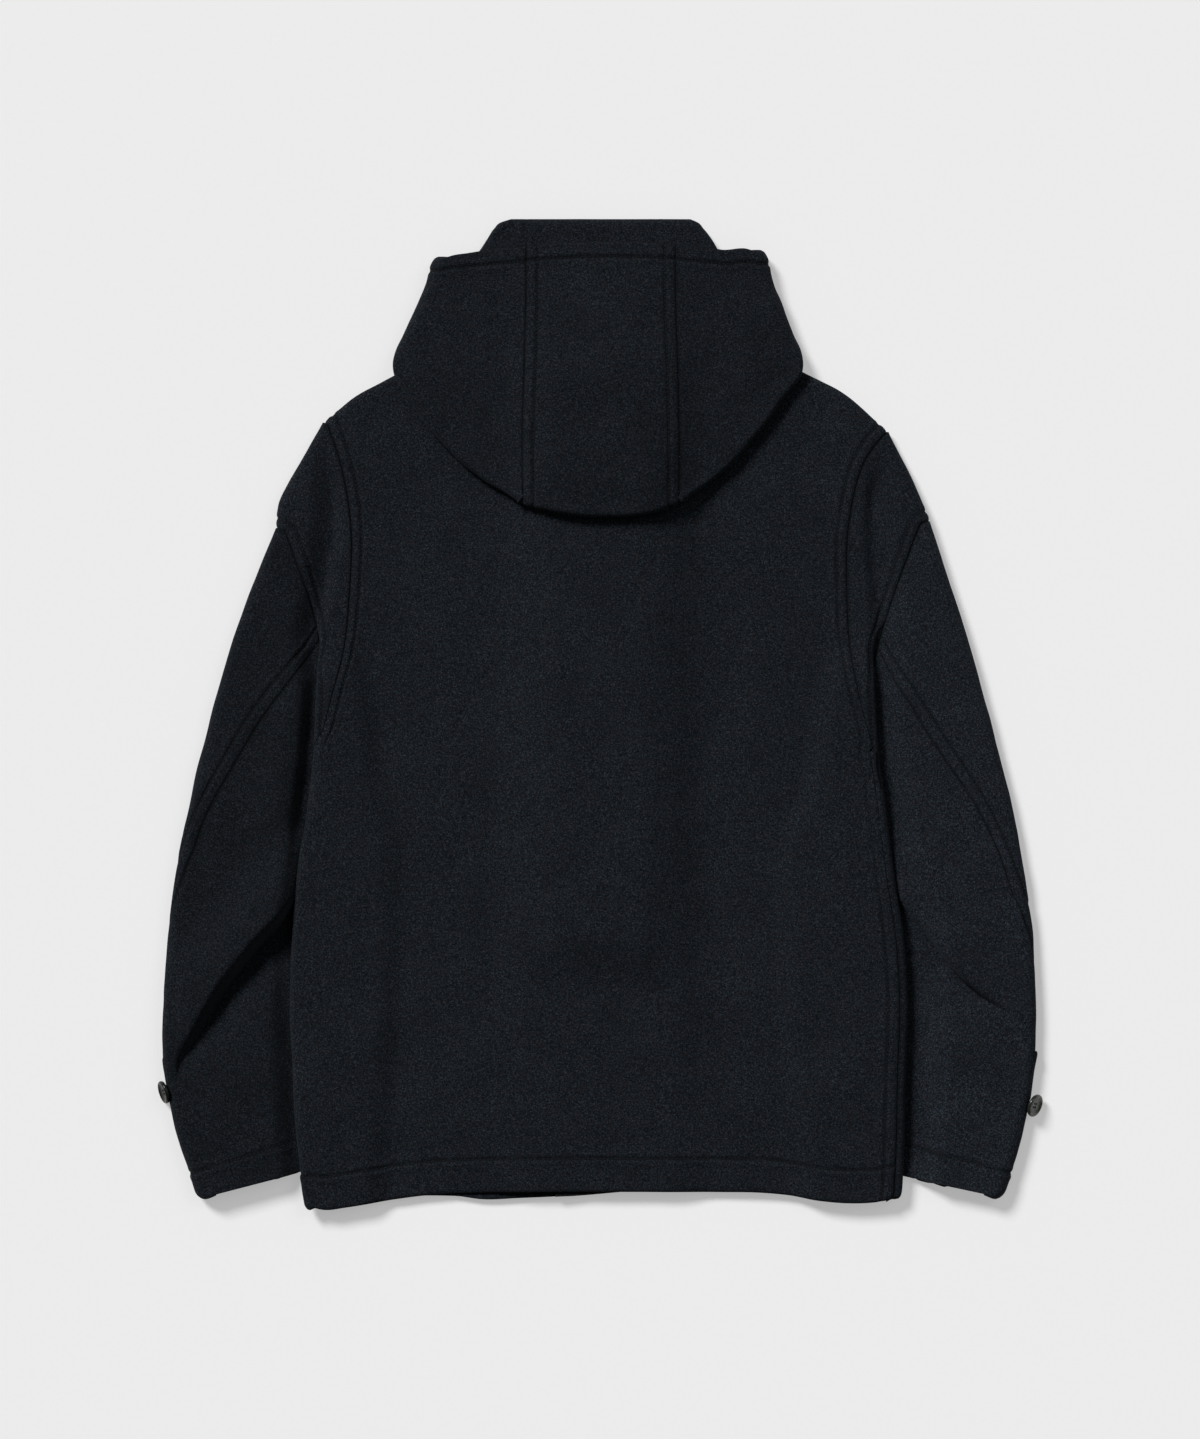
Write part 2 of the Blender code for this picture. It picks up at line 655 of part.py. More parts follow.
RING_TOP = (0.0, 0.03, 0.07, 0.12, 0.18, 0.25, 0.32, 0.39, 0.46, 0.53, 0.6, 0.68, 0.76, 0.84, 0.91, 0.97)
RING_ARC = (0.5, 0.53, 0.56, 0.59, 0.62)
RING_BELOW = (0.66, 0.71, 0.77, 0.83, 0.89, 0.94, 0.98, 1.0)
CROWD = 0.0022  # where columns would pass the seam, they stand this far apart before it
UNDER_STARTS = 0.035


def under_columns(seam):
    """Ring places of the inner panel's columns, which run up to the back seam."""
    flat_end = min(seam - CROWD * len(RING_ARC), 0.49)
    places = [UNDER_STARTS + (flat_end - UNDER_STARTS) * t for t in RING_TOP]
    for j, place in enumerate(RING_ARC):
        places.append(min(place, seam - CROWD * (len(RING_ARC) - 1 - j)))
    places[-1] = seam
    return places


def top_columns(seam):
    """Ring places of the outer panel's columns, from the back seam round and under the sleeve."""
    places = [seam + (max(0.49, seam + CROWD * 4) - seam) * t for t in (0.0, 0.3, 0.65, 1.0)]
    for j, place in enumerate(RING_ARC + RING_BELOW):
        places.append(max(place, seam + CROWD * (5 + j)))
    places[-1] = 1.0
    return places


def sleeve_panels(side):
    """The two panels of a sleeve, parted along the back seam and under the inner edge."""
    parts = {"under": [], "top": []}
    cuff = []
    sections = SLEEVES[side]
    for number, section in enumerate(sections):
        seam = seam_around(section.seam)
        gap = 0.0007 if seam < 0.47 else 0.0045
        for name, places in (("under", under_columns(seam - gap)), ("top", top_columns(seam + gap))):
            parts[name].append([sleeve_point(side, number, place) for place in places])
        turned_up = number >= len(sections) - CUFF_ROWS
        bare = [abs(x) - abs(body_edge(side, y)) - 6.0 for x, y, z in parts["under"][-1]]
        cuff.append([CUFF_EXTRA * turned_up * smooth(clear / 5.0) for clear in bare])
    wall(f"sleeve_under_{side}", parts["under"], WOOL, cuff)
    wall(f"sleeve_top_{side}", parts["top"], WOOL)


CAP_COLUMNS = (0.0, 0.3, 0.6, 0.84, 1.0)


def cap_outer(side, around):
    """A point just above the sleeve's first ring."""
    ring = np.array(sleeve_point(side, 0, around))
    nearby = min(around, 1.12 - around, 0.48)
    before = np.array(sleeve_point(side, 0, max(nearby - 0.01, 0.125)))
    after = np.array(sleeve_point(side, 0, max(nearby, 0.135)))
    inward = np.array((after[1] - before[1], before[0] - after[0], 0.0))
    inward *= (1 if side == "left" else -1) / np.linalg.norm(inward)
    return ring + inward * CAP_SEAM


def cap_row(side, station, face):
    """One row across a cap, from the armhole seam to the sleeve seam."""
    outward = -1 if side == "left" else 1
    t = (station.level - LEVELS[0]) / (LEVELS[-1] - LEVELS[0])
    at_fold = smooth((station.level - CAPS[-2].level) / (CAPS[-1].level - CAPS[-2].level))
    clear = SEAM + (TOP_CLEAR - SEAM) * at_fold
    seam_x = side_of_body(side, station.level)[0] + outward * clear
    seam_y = station.level - SHOULDER_INSET * t ** 8
    around = station.around if face == "top" else 1.12 - station.around
    outer = cap_outer(side, around)
    if face == "top":
        seam_z = back_height(seam_x, seam_y)
        outer[0] += outward * station.over
        outer[2] += station.sunk * (CLOTH + 0.8)
    else:
        seam_z = front_height(side, seam_x, seam_y)
    row = []
    for t in CAP_COLUMNS:
        drop = t ** (1 + 3 * station.sunk) if face == "top" else t
        z = seam_z + (outer[2] - seam_z) * drop
        if face == "top":
            z += CAP_BULGE * math.sin(math.pi * t) * (1 - station.sunk)
        row.append((seam_x + (outer[0] - seam_x) * t, seam_y + (outer[1] - seam_y) * t, z))
    return row


def cap_fold_row(side, angle, top_row, bottom_row):
    """A row on the cap's folded outer edge."""
    outward = -1 if side == "left" else 1
    knots = np.array(SHOULDER_FOLD[side])
    end = cap_outer(side, 0.5 + 0.12 * angle / 180)
    turn = math.radians(angle)
    row = []
    for j, t in enumerate(CAP_COLUMNS):
        place = t * (len(knots) - 1)
        i = min(int(place), len(knots) - 2)
        x, y = knots[i] + (knots[i + 1] - knots[i]) * (place - i)
        step = knots[i + 1] - knots[i]
        out = np.array((-step[1], step[0])) * outward / np.linalg.norm(step)
        top, bottom = top_row[j][2], bottom_row[j][2]
        radius = (top - bottom) / 2
        inset = radius + HALF - radius * math.sin(turn)
        point = np.array((x - out[0] * inset, y - out[1] * inset,
                          (top + bottom) / 2 + radius * math.cos(turn)))
        if t == 1.0:
            point = end
        row.append(point)
    level = min(row[0][1], LEVELS[-1])
    seam_x = side_of_body(side, level)[0] + outward * FOLD_CLEAR
    shift = seam_x - row[0][0]
    for j, t in enumerate(CAP_COLUMNS):
        row[j] = row[j] + np.array((shift * (1 - t) ** 2, 0.0, 0.0))
    return row


def cap_panel(side):
    middle = [cap_row(side, station, "top") for station in CAPS]
    under = [cap_row(side, station, "bottom") for station in CAPS[3:]]
    top_row, bottom_row = middle[-1], under[-1]
    for angle in (0.0, 45.0, 90.0, 135.0, 180.0):
        middle.append(cap_fold_row(side, angle, top_row, bottom_row))
    middle += under[::-1]
    wall(f"cap_{side}", middle, WOOL)


def shoulder_line(x):
    return track(TOP, "x", "back", min(max(x, -246.0), 257.0))


def hood_base(x, y):
    """Height of what the hood lies on: the back, or the bare surface above the shoulders."""
    beyond = y - shoulder_line(x)
    on_coat = 1 - smooth((beyond - 3.0) / 22.0)
    level = min(y, shoulder_line(x) - 4.0)
    return (back_height(x, level) + HALF + HOOD_CLEAR) * on_coat


def hood_inner_top(x, y):
    loft = CROWN_LOFT * smooth((300.0 - y) / 110.0)
    level = min(y, shoulder_line(x) - 4.0)
    on_coat = back_height(x, level) + HALF + HOOD_CLEAR + HOOD_INNER + loft
    return on_coat + (HOOD_ROLL_TOP - on_coat) * smooth((y - 285.0) / 150.0)


HOOD_LEVELS = (204.0, 216.0, 232.0, 250.0, 268.0, 286.0, 302.0, 316.0, 334.0, 352.0, 370.0, 386.0)
HOOD_CREASES = (
    Crease(60.0, 110.0, 300.0, 396.0, 30.0, -1.6),
    Crease(-40.0, -52.0, 300.0, 345.0, 16.0, -1.2),
    Crease(-110.0, -95.0, 230.0, 380.0, 26.0, 1.0),
    Crease(118.0, 92.0, 215.0, 300.0, 22.0, 1.2),
)


def hood_height(x, y):
    """Middle height of the hood's visible layer."""
    return hood_inner_top(x, y) + HALF + HOOD_LOFT + relief(HOOD_CREASES, x, y)


def hood_side_panel(side):
    """A side panel of the hood, from the strip seam to its outer fold and a little way under."""
    outward = -1 if side == "left" else 1
    levels = (191.0, 196.0, *HOOD_LEVELS, 387.5, 401.0)
    fractions = (0.0, 0.12, 0.26, 0.42, 0.58, 0.74, 0.88)
    middle = []
    more = []
    for level in levels:
        seam = track(HOOD_SEAM, "y", side, level) + outward * SEAM / 2
        edge = track(HOOD_SIDE, "y", side, level)
        lift = smooth((level - 370.0) / 30.0)
        top = hood_height(edge - outward * 8, level)
        bottom = hood_base(edge - outward * 4, level) + SEAM + HALF
        radius = (top - bottom) / 2
        flat_end = edge - outward * (radius + HALF)
        if outward * (flat_end - seam) < 3.0:
            flat_end = seam + outward * 3.0
        row = []
        for t in fractions + (1.0,):
            x = seam + (flat_end - seam) * t
            rise = (track(HOOD_FACE, "x", "y", x) - 401.5) * lift
            y = level + rise
            row.append((x, y, hood_height(x, y) + (top - hood_height(flat_end, level)) * t ** 3))
        for angle in (40.0, 80.0, 120.0, 155.0):
            turn = math.radians(angle)
            x = flat_end + outward * radius * math.sin(turn)
            row.append((x, level, (top + bottom) / 2 + radius * math.cos(turn)))
        middle.append(row)
        more.append([0.8 if level > 387.0 else 0.0] * len(row))
    grid = np.array(middle)
    if side == "left":
        grid = grid[:, ::-1]
    wall(f"hood_side_{side}", grid, WOOL, more)


def hood_centre_panel():
    """The hood's centre strip, from the face edge down to the crown and round under it."""
    levels = (407.0, 393.0, 391.5, *HOOD_LEVELS[-2::-1])
    across = (0.0, 0.14, 0.32, 0.5, 0.68, 0.86, 1.0)
    middle = []
    more = []
    for level in levels:
        left = track(HOOD_SEAM, "y", "left", level) + SEAM / 2
        right = track(HOOD_SEAM, "y", "right", level) - SEAM / 2
        lift = smooth((level - 370.0) / 30.0)
        row = []
        for t in across:
            x = left + (right - left) * t
            y = level + (track(HOOD_FACE, "x", "y", x) - 407.0) * lift
            row.append((x, y, hood_height(x, y)))
        middle.append(row)
        more.append([0.8 if level > 392.0 else 0.0] * len(row))
    for angle in (0.0, 36.0, 72.0, 108.0, 144.0):
        row = []
        for x, y, z in middle[len(levels) - 1]:
            end = track(CROWN, "x", "y", x)
            top = hood_height(x, end + 8.0)
            bottom = hood_base(x, end + 4.0) + SEAM + HALF
            radius = (top - bottom) / 2
            turn = math.radians(angle)
            y_roll = end + radius + HALF - radius * math.sin(turn)
            row.append((x, y_roll, (top + bottom) / 2 + radius * math.cos(turn)))
        middle.append(row)
        more.append([0.0] * len(row))
    wall("hood_centre", np.array(middle)[::-1], WOOL, more[::-1])


def hood_turned_under():
    """The hood's two hidden layers, with the soft roll that shows above the face edge."""
    lower = []
    upper = []
    across = (0.0, 0.02, 0.06, 0.12, 0.19, 0.26, 0.33, 0.40, 0.47, 0.53, 0.60, 0.67, 0.74, 0.81, 0.88,
              0.94, 0.98, 1.0)
    levels = (HOOD_UNDER[0].y, *HOOD_LEVELS, 401.0, 414.0, 426.0, 435.0, 441.0, HOOD_UNDER[-1].y)
    for level in levels:
        left = track(HOOD_UNDER, "y", "left", level)
        right = track(HOOD_UNDER, "y", "right", level)
        low_row = []
        high_row = []
        for t in across:
            x = left + (right - left) * t
            base = hood_base(x, level)
            top = hood_inner_top(x, level)
            inward = min(x - left, right - x)
            distance = min(inward + 1.2, levels[-1] - level + 1.2, level - levels[0] + 2.5)
            depth = min(distance / 9.0, 1.0)
            half = (top - base) / 2 * math.sqrt(1 - (1 - depth) ** 2)
            low_row.append((x, level, (base + top) / 2 - half))
            high_row.append((x, level, (base + top) / 2 + half))
        lower.append(low_row)
        upper.append(high_row)
    solid("hood_turned_under", np.array(lower), np.array(upper), WOOL)


def cuff_tab(side):
    """The cuff strap, which lies round the sleeve's outer edge and under it."""
    middle = []
    for section in range(TAB_FIRST[side], TAB_FIRST[side] + 3):
        row = []
        top = np.array(sleeve_point(side, section, 0.5))
        bottom = np.array(sleeve_point(side, section, 0.62))
        for around in (0.535, 0.555, 0.575, 0.595):
            point = np.array(sleeve_point(side, section, around))
            away = point - (top + bottom) / 2
            away /= np.linalg.norm(away)
            row.append(point + away * (HALF + TAB_SEAT + TAB_THICK / 2))
        middle.append(row)
    wall(f"cuff_tab_{side}", middle, WOOL, thick=TAB_THICK)


Lean = namedtuple("Lean", "x y tilt")
BUTTONS = {"left": Lean(-393.4, -340.0, 62.0), "right": Lean(392.5, -352.0, 50.0)}


def turned(name, profile, finish, sides, place):
    """A turned piece from a profile of (radius, height), carried to its place by a function."""
    mesh = bmesh.new()
    rings = []
    for radius, height in profile:
        ring = []
        for i in range(sides):
            turn = 2 * math.pi * i / sides
            ring.append(mesh.verts.new(place(radius * math.cos(turn), radius * math.sin(turn), height)))
        rings.append(ring)
    for low, high in zip(rings, rings[1:]):
        for i in range(sides):
            mesh.faces.new((low[i], low[(i + 1) % sides], high[(i + 1) % sides], high[i]))
    mesh.faces.new(rings[0])
    mesh.faces.new(rings[-1])
    return placed(name, mesh, finish)


def cuff_button(side):
    """A cuff button, which leans on the sleeve's edge."""
    lean = BUTTONS[side]
    outward = -1 if side == "left" else 1
    radius = BUTTON_DIAMETER / 2
    tilt = math.radians(lean.tilt)
    rise = radius * math.sin(tilt) + BUTTON_THICK / 2 * math.cos(tilt) + 0.3

    def place(x, y, z):
        across = x * math.cos(tilt) + z * math.sin(tilt)
        height = z * math.cos(tilt) - x * math.sin(tilt) + rise
        return ((lean.x + outward * across) * MM, (lean.y + y) * MM, height * MM)

    profile = (
        (radius * 0.8, -BUTTON_THICK * 0.5),
        (radius * 0.96, -BUTTON_THICK * 0.3),
        (radius, BUTTON_THICK * 0.1),
        (radius * 0.95, BUTTON_THICK * 0.42),
        (radius * 0.86, BUTTON_THICK * 0.5),
        (radius * 0.74, BUTTON_THICK * 0.3),
        (radius * 0.5, BUTTON_THICK * 0.12),
    )
    turned(f"cuff_button_{side}", profile, HORN, 16, place)


def fastening(number):
    """A horn toggle across the front edge, and the cord loop that goes round it."""
    y = TOGGLE_FIRST_Y - TOGGLE_STEP * number
    radius = TOGGLE_DIAMETER / 2
    centre_z = radius + 0.3

    def place(a, b, along):
        return (along * MM, (y + a) * MM, (centre_z + b) * MM)

    profile = []
    for step in range(7):
        t = step / 6 * 2 - 1
        size = radius * (0.62 + 0.38 * math.sqrt(max(0.0, 1 - abs(t) ** 2.2)))
        profile.append((size, t * TOGGLE_LENGTH / 2))
    turned(f"toggle_{number + 1}", profile, TOGGLE_HORN, 10, place)


def loop_path(turn):
    """The middle line of a cord loop: a long flat round that hugs the toggle."""
    narrow = math.copysign(abs(math.sin(turn)) ** 0.7, math.sin(turn))
    return np.array((LOOP_SHIFT + LOOP_LENGTH / 2 * math.cos(turn), LOOP_WIDTH / 2 * narrow, CORD / 2 + 0.3))


def fastening_loop(number):
    """A loop of cord that lies flat beside a toggle, from the left front's edge."""
    y = TOGGLE_FIRST_Y - TOGGLE_STEP * number
    mesh = bmesh.new()
    points = 18
    sides = 6
    rings = []
    for i in range(points):
        before, centre, after = (loop_path(2 * math.pi * (i + step) / points) for step in (-1, 0, 1))
        centre[1] += y
        ahead = (after - before) / np.linalg.norm(after - before)
        aside = np.array((ahead[1], -ahead[0], 0.0))
        ring = []
        for j in range(sides):
            spin = 2 * math.pi * j / sides
            point = centre + aside * CORD / 2 * math.cos(spin)
            point[2] += CORD / 2 * math.sin(spin)
            ring.append(mesh.verts.new(point * MM))
        rings.append(ring)
    for i in range(points):
        low, high = rings[i], rings[(i + 1) % points]
        for j in range(sides):
            mesh.faces.new((low[j], low[(j + 1) % sides], high[(j + 1) % sides], high[j]))
    return placed(f"loop_{number + 1}", mesh, LOOP_CORD)


for leftover in list(bpy.data.objects):
    bpy.data.objects.remove(leftover)

back_panel()
for hand in ("left", "right"):
    front_panel(hand)
    cap_panel(hand)
    sleeve_panels(hand)
    hood_side_panel(hand)
    cuff_tab(hand)
    cuff_button(hand)
hood_centre_panel()
hood_turned_under()
for toggle in range(TOGGLES):
    fastening(toggle)
    fastening_loop(toggle)
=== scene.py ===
"""A short duffle coat of heavy dark wool, lying face down with its hood folded flat on its back.

X runs to the wearer's right, Y up to the hood and Z up from the surface. Tables and sizes are in
millimetres, and stitched_cloth() turns them into metres.
"""

import math
from collections import namedtuple

import bpy
import numpy as np
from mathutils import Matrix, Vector


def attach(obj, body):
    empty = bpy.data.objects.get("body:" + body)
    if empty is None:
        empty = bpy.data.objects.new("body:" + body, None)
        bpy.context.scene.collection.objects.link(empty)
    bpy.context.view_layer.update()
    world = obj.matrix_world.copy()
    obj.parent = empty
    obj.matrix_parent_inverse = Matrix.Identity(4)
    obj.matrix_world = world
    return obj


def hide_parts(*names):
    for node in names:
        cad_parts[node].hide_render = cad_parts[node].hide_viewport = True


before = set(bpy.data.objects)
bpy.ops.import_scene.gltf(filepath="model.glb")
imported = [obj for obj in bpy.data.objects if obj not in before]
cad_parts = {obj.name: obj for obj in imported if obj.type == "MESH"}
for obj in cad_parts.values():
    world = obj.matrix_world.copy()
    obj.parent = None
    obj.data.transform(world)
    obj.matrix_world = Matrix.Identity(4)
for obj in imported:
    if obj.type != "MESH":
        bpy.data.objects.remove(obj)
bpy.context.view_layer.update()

# ---------------------------------------------------------------------------------------------
# Back panel: one piece of melton, a dense felted wool about 3 mm thick. Its hem is turned up and
# stitched, and a raised double-stitched welt runs up both armhole seams. It lies on the fronts.
# ---------------------------------------------------------------------------------------------
MM = 0.001
CLOTH = 3.0
SEAM = 0.4
HALF = CLOTH / 2
LAYER = CLOTH + SEAM
BODY_TOP_LOFT = 5.6
EDGE_LOFT = 7.0
UNDERARM_Y = -30.0
UNDERARM_RUN = 6.0
RIGHT_WRAP = 7.0
OVERLAP = 40.0
LAP_RISE = LAYER + 0.6
SLEEVE_TUCK = 7.6
TUCK_REACH, TUCK_SLOPE = 42.0, 26.0  # how far out from a sleeve's inner edge the rise ends, and its width
BACK_TUCK = (85.0, 66.0)  # below this level, and over this run, the back rises on the sleeves
FRONT_TUCK = (48.0, 28.0)  # and the fronts
TOGGLE_LIFT = 10.8
TOGGLES_LOW, TOGGLES_RUN = -250.0, 55.0
TOGGLES_REACH, TOGGLES_SLOPE = 92.0, 58.0
BACK_LAP = (102.0, 38.0)  # inside this X, and over this run, the back rises on the fronts' lap
FRONT_LAP = (22.0, 18.0)  # and the right front, this far past the left one's edge
HEM_LIP = 3.2  # the fronts' hem curls up where it shows beyond the back
HEM_LIP_X, HEM_LIP_Y, HEM_LIP_REACH = -20.0, -430.5, 150.0
LOFT_RUN = 40.0  # the air inside falls off to the side edges over this width
HEM_LOFT, HEM_LOFT_RUN = 0.3, 80.0  # and to this share of itself at the hem
FLOOR_GAP = 0.15
SAMPLE = 4.0  # the heights of a folded edge are read this far in from it
ROLL_END = 112.0  # degrees round the rolled left edge where the back's border lies
CAP_ROLL_END = 116.0  # and where the shoulder cap's outer edge lies, at the underarm
WELT = 10.0
HEM_DEPTH = 30.0
OUTWARD = {"left": -1, "right": 1}


def table(kind, *rows):
    """Rows of numbers with the named columns of this kind."""
    return [kind(*row) for row in rows]


Side = namedtuple("Side", "y left right")
BODY_EDGE = table(  # the body's folded side edges
    Side,
    (-446.0, -263.0, 268.5), (-434.0, -265.5, 270.5), (-405.0, -270.0, 272.5),
    (-325.0, -275.5, 274.5), (-258.0, -278.5, 276.5), (-206.0, -276.5, 273.5),
    (-149.0, -272.5, 265.0), (-78.0, -262.0, 255.5), (-40.0, -257.5, 250.0), (10.0, -254.5, 247.0),
    (60.0, -252.0, 244.0), (110.0, -243.0, 240.0), (160.0, -234.0, 236.0),
)
ARMHOLE = table(
    Side,
    (-30.0, -252.0, 244.0), (14.0, -240.5, 232.5), (53.0, -230.5, 225.0), (103.0, -225.0, 222.0),
    (160.0, -223.5, 223.5), (208.0, -231.5, 234.5), (254.0, -245.0, 256.0),
)
SLEEVE_INNER = table(  # the sleeves' inner edges, under the body
    Side,
    (-446.0, -229.0, 215.0), (-405.0, -228.0, 213.0), (-300.0, -219.0, 199.0),
    (-200.0, -217.0, 197.0), (-105.0, -219.0, 200.5), (-80.0, -226.0, 213.0),
    (-50.0, -232.0, 222.0), (-10.0, -236.0, 227.0), (20.0, -241.0, 234.0), (60.0, -249.0, 246.0),
)
Edge = namedtuple("Edge", "x back front")
HEM = table(
    Edge,
    (-264.0, -442.0, -441.0), (-247.0, -446.0, -445.0), (-229.0, -444.0, -443.0),
    (-198.0, -439.0, -438.0), (-157.0, -433.5, -434.0), (-126.0, -431.5, -434.5),
    (-108.0, -431.0, -437.0), (-72.0, -430.5, -436.0), (-20.0, -430.0, -433.5),
    (20.0, -430.0, -430.5), (108.0, -430.5, -429.5), (144.0, -431.0, -430.0),
    (171.0, -433.5, -432.5), (198.0, -438.0, -437.0), (225.0, -440.0, -439.0),
    (243.0, -439.5, -438.5), (270.0, -434.5, -434.0),
)
TOP = table(  # the folded shoulders and the two necklines
    Edge,
    (-246.0, 260.0, 260.0), (-221.0, 282.0, 282.0), (-191.0, 300.0, 300.0), (-144.0, 321.0, 321.0),
    (-86.0, 336.0, 336.0), (-50.0, 331.0, 290.0), (0.0, 329.0, 262.0), (50.0, 331.0, 290.0),
    (86.0, 337.0, 337.0), (144.0, 323.0, 323.0), (183.0, 306.0, 306.0), (216.0, 288.0, 288.0),
    (257.0, 251.0, 251.0),
)
LOWEST_LEVEL, HEM_LEVEL, HIGHEST_LEVEL = -441.0, -428.0, 250.0
SHOULDER_INSET = -5.5

# A crease is a soft ridge or trough along a line of points. left and right are its widths on the two
# sides of the line, walking from the first point to the last, and fade is its ends' length.
Crease = namedtuple("Crease", "points left right height fade")
BACK_CREASES = table(
    Crease,
    (((-185, 100), (-206, 20), (-209, -160), (-203, -312), (-200, -428)), 26, 18, -1.87, 120),
    (((-248, 0), (-250, -200), (-246, -430)), 13, 10, 0.72, 90),
    (((104, 62), (100, -60), (108, -220), (112, -380)), 20, 26, -1.94, 110),
    (((2, -10), (-12, -150), (-26, -300), (-30, -425)), 46, 40, 1.37, 120),
    (((148, 96), (147, 30), (150, -60)), 18, 16, 1.58, 60),
    (((212, 50), (216, -120), (226, -280), (222, -420)), 24, 22, 1.22, 110),
    (((-92, 110), (-104, -20), (-118, -180), (-116, -330)), 26, 22, 1.15, 110),
    (((-150, 250), (-165, 160), (-190, 60)), 20, 28, -0.94, 90),
    (((186, 255), (178, 150), (188, 60)), 26, 18, -0.79, 80),
    (((-20, 120), (70, 112), (150, 130)), 20, 26, -0.65, 60),
    (((-40, -215), (40, -226), (96, -214)), 9, 18, -0.11, 40),
    (((-214, -40), (-170, -66), (-120, -74)), 8, 15, -0.40, 50),
    (((226, -58), (186, -78), (146, -82)), 9, 14, -0.36, 45),
    (((-160, -250), (-96, -268), (-40, -262)), 10, 20, -0.18, 55),
    (((150, -290), (196, -306), (240, -300)), 12, 16, -0.36, 40),
)


def smooth(t):
    """Eases from 0 to 1 as t does, and stays there beyond."""
    t = np.clip(t, 0.0, 1.0)
    return t * t * (3 - 2 * t)


def column(rows, name):
    """The values in one column of a table."""
    return np.array([getattr(row, name) for row in rows])


def track(rows, key, name, at):
    """The value of a table's column at places along its key column, on a smooth curve."""
    return curve(column(rows, key), column(rows, name), at)


def curve(keys, values, at):
    """Values at places between the keys, on a smooth curve through all of them."""
    slopes = np.gradient(values, keys)
    at = np.clip(at, keys[0], keys[-1])
    i = np.clip(np.searchsorted(keys, at) - 1, 0, len(keys) - 2)
    span = keys[i + 1] - keys[i]
    t = (at - keys[i]) / span
    low = values[i] * (1 + 2 * t) + span * slopes[i] * t
    high = values[i + 1] * (3 - 2 * t) - span * slopes[i + 1] * (1 - t)
    return low * (1 - t) ** 2 + high * t * t


def lengths_along(points):
    """The length of a line of points up to each of them."""
    return np.concatenate([[0.0], np.cumsum(np.linalg.norm(np.diff(points, axis=0), axis=1))])


def nearest_on(points, x, y):
    """For each place, its distance from a line of points, where along the line its nearest point lies,
    and on which side of the line it is: positive on the left."""
    shape = np.broadcast(x, y).shape
    best, place, side = np.full(shape, 1e9), np.zeros(shape), np.zeros(shape)
    steps = np.linalg.norm(np.diff(points, axis=0), axis=1)
    for a, b, start, step in zip(points, points[1:], lengths_along(points), steps):
        ahead = (b - a) / step
        t = np.clip((x - a[0]) * ahead[0] + (y - a[1]) * ahead[1], 0.0, step)
        gap_x = x - a[0] - ahead[0] * t
        gap_y = y - a[1] - ahead[1] * t
        gap = np.hypot(gap_x, gap_y)
        nearer = gap < best
        best = np.where(nearer, gap, best)
        place = np.where(nearer, start + t, place)
        side = np.where(nearer, ahead[0] * gap_y - ahead[1] * gap_x, side)
    return best, place, side


WANDER, WANDER_LENGTH = 0.22, 23.0  # a crease's height sways by this share, over this length


def creased(creases, x, y):
    """Height that a table of creases adds at each place."""
    total = np.zeros(np.broadcast(x, y).shape)
    for crease in creases:
        points = np.array(crease.points, float)
        gap, place, side = nearest_on(points, x, y)
        width = np.where(side > 0, crease.left, crease.right)
        left_over = lengths_along(points)[-1] - place
        ends = smooth(place / crease.fade) * smooth(left_over / crease.fade)
        wander = 1 + WANDER * np.sin(place / WANDER_LENGTH + crease.height * 40)
        total += crease.height * np.exp(-((gap / width) ** 2)) * ends * wander
    return total


WAVES = 18
SHORTEST_WAVE, LONGEST_WAVE = 16, 75


def ripple(x, y, size, seed):
    """Uneven low relief of the cloth: many faint waves in all directions."""
    chance = np.random.default_rng(seed)
    total = np.zeros(np.broadcast(x, y).shape)
    for _ in range(WAVES):
        turn = chance.uniform(0, math.pi)
        length = chance.uniform(SHORTEST_WAVE, LONGEST_WAVE)
        phase = chance.uniform(0, 2 * math.pi)
        wave = (x * math.cos(turn) + y * math.sin(turn)) * 2 * math.pi / length + phase
        total += np.sin(wave) * (length / LONGEST_WAVE) ** 0.8
    return total * size / 3.2


def body_edge(side, y):
    return track(BODY_EDGE, "y", side, y)


def sleeve_lift(x, y, starts, run):
    """Rise of the body over the sleeves that are tucked under its side edges."""
    below = smooth((starts - y) / run)
    left = smooth((track(SLEEVE_INNER, "y", "left", y) + TUCK_REACH - x) / TUCK_SLOPE)
    right = smooth((x - track(SLEEVE_INNER, "y", "right", y) + TUCK_REACH) / TUCK_SLOPE)
    return SLEEVE_TUCK * below * np.maximum(left, right)


def closure_lift(x, y):
    """Rise of the body along the row of toggles that it lies on."""
    up = smooth((y - TOGGLES_LOW) / TOGGLES_RUN)
    return TOGGLE_LIFT * up * smooth((TOGGLES_REACH - np.abs(x)) / TOGGLES_SLOPE)


def front_height(side, x, y):
    """Middle height of a front panel."""
    height = HALF + sleeve_lift(x, y, *FRONT_TUCK) + closure_lift(x, y)
    if side == "right":
        past, run = FRONT_LAP
        height = height + LAP_RISE * smooth((OVERLAP + past - x) / run)
    beside = smooth((HEM_LIP_REACH - np.abs(x - HEM_LIP_X)) / 30.0)
    return height + HEM_LIP * smooth((HEM_LIP_Y - y) / 3.0) * beside


def back_height(x, y):
    """Middle height of the back panel."""
    reach, run = BACK_LAP
    lapped = LAP_RISE * smooth((reach - np.abs(x)) / run)
    inward = np.minimum(x - body_edge("left", y), body_edge("right", y) - x)
    loft = EDGE_LOFT + (BODY_TOP_LOFT - EDGE_LOFT) * smooth(inward / LOFT_RUN)
    above_hem = smooth((y - BODY_EDGE[0].y) / HEM_LOFT_RUN)
    loft = loft * (HEM_LOFT + (1 - HEM_LOFT) * above_hem)
    bumps = creased(BACK_CREASES, x, y) * smooth(inward / 25.0)
    lift = sleeve_lift(x, y, *BACK_TUCK)
    return HALF + lift + closure_lift(x, y) + LAYER + lapped + loft + bumps


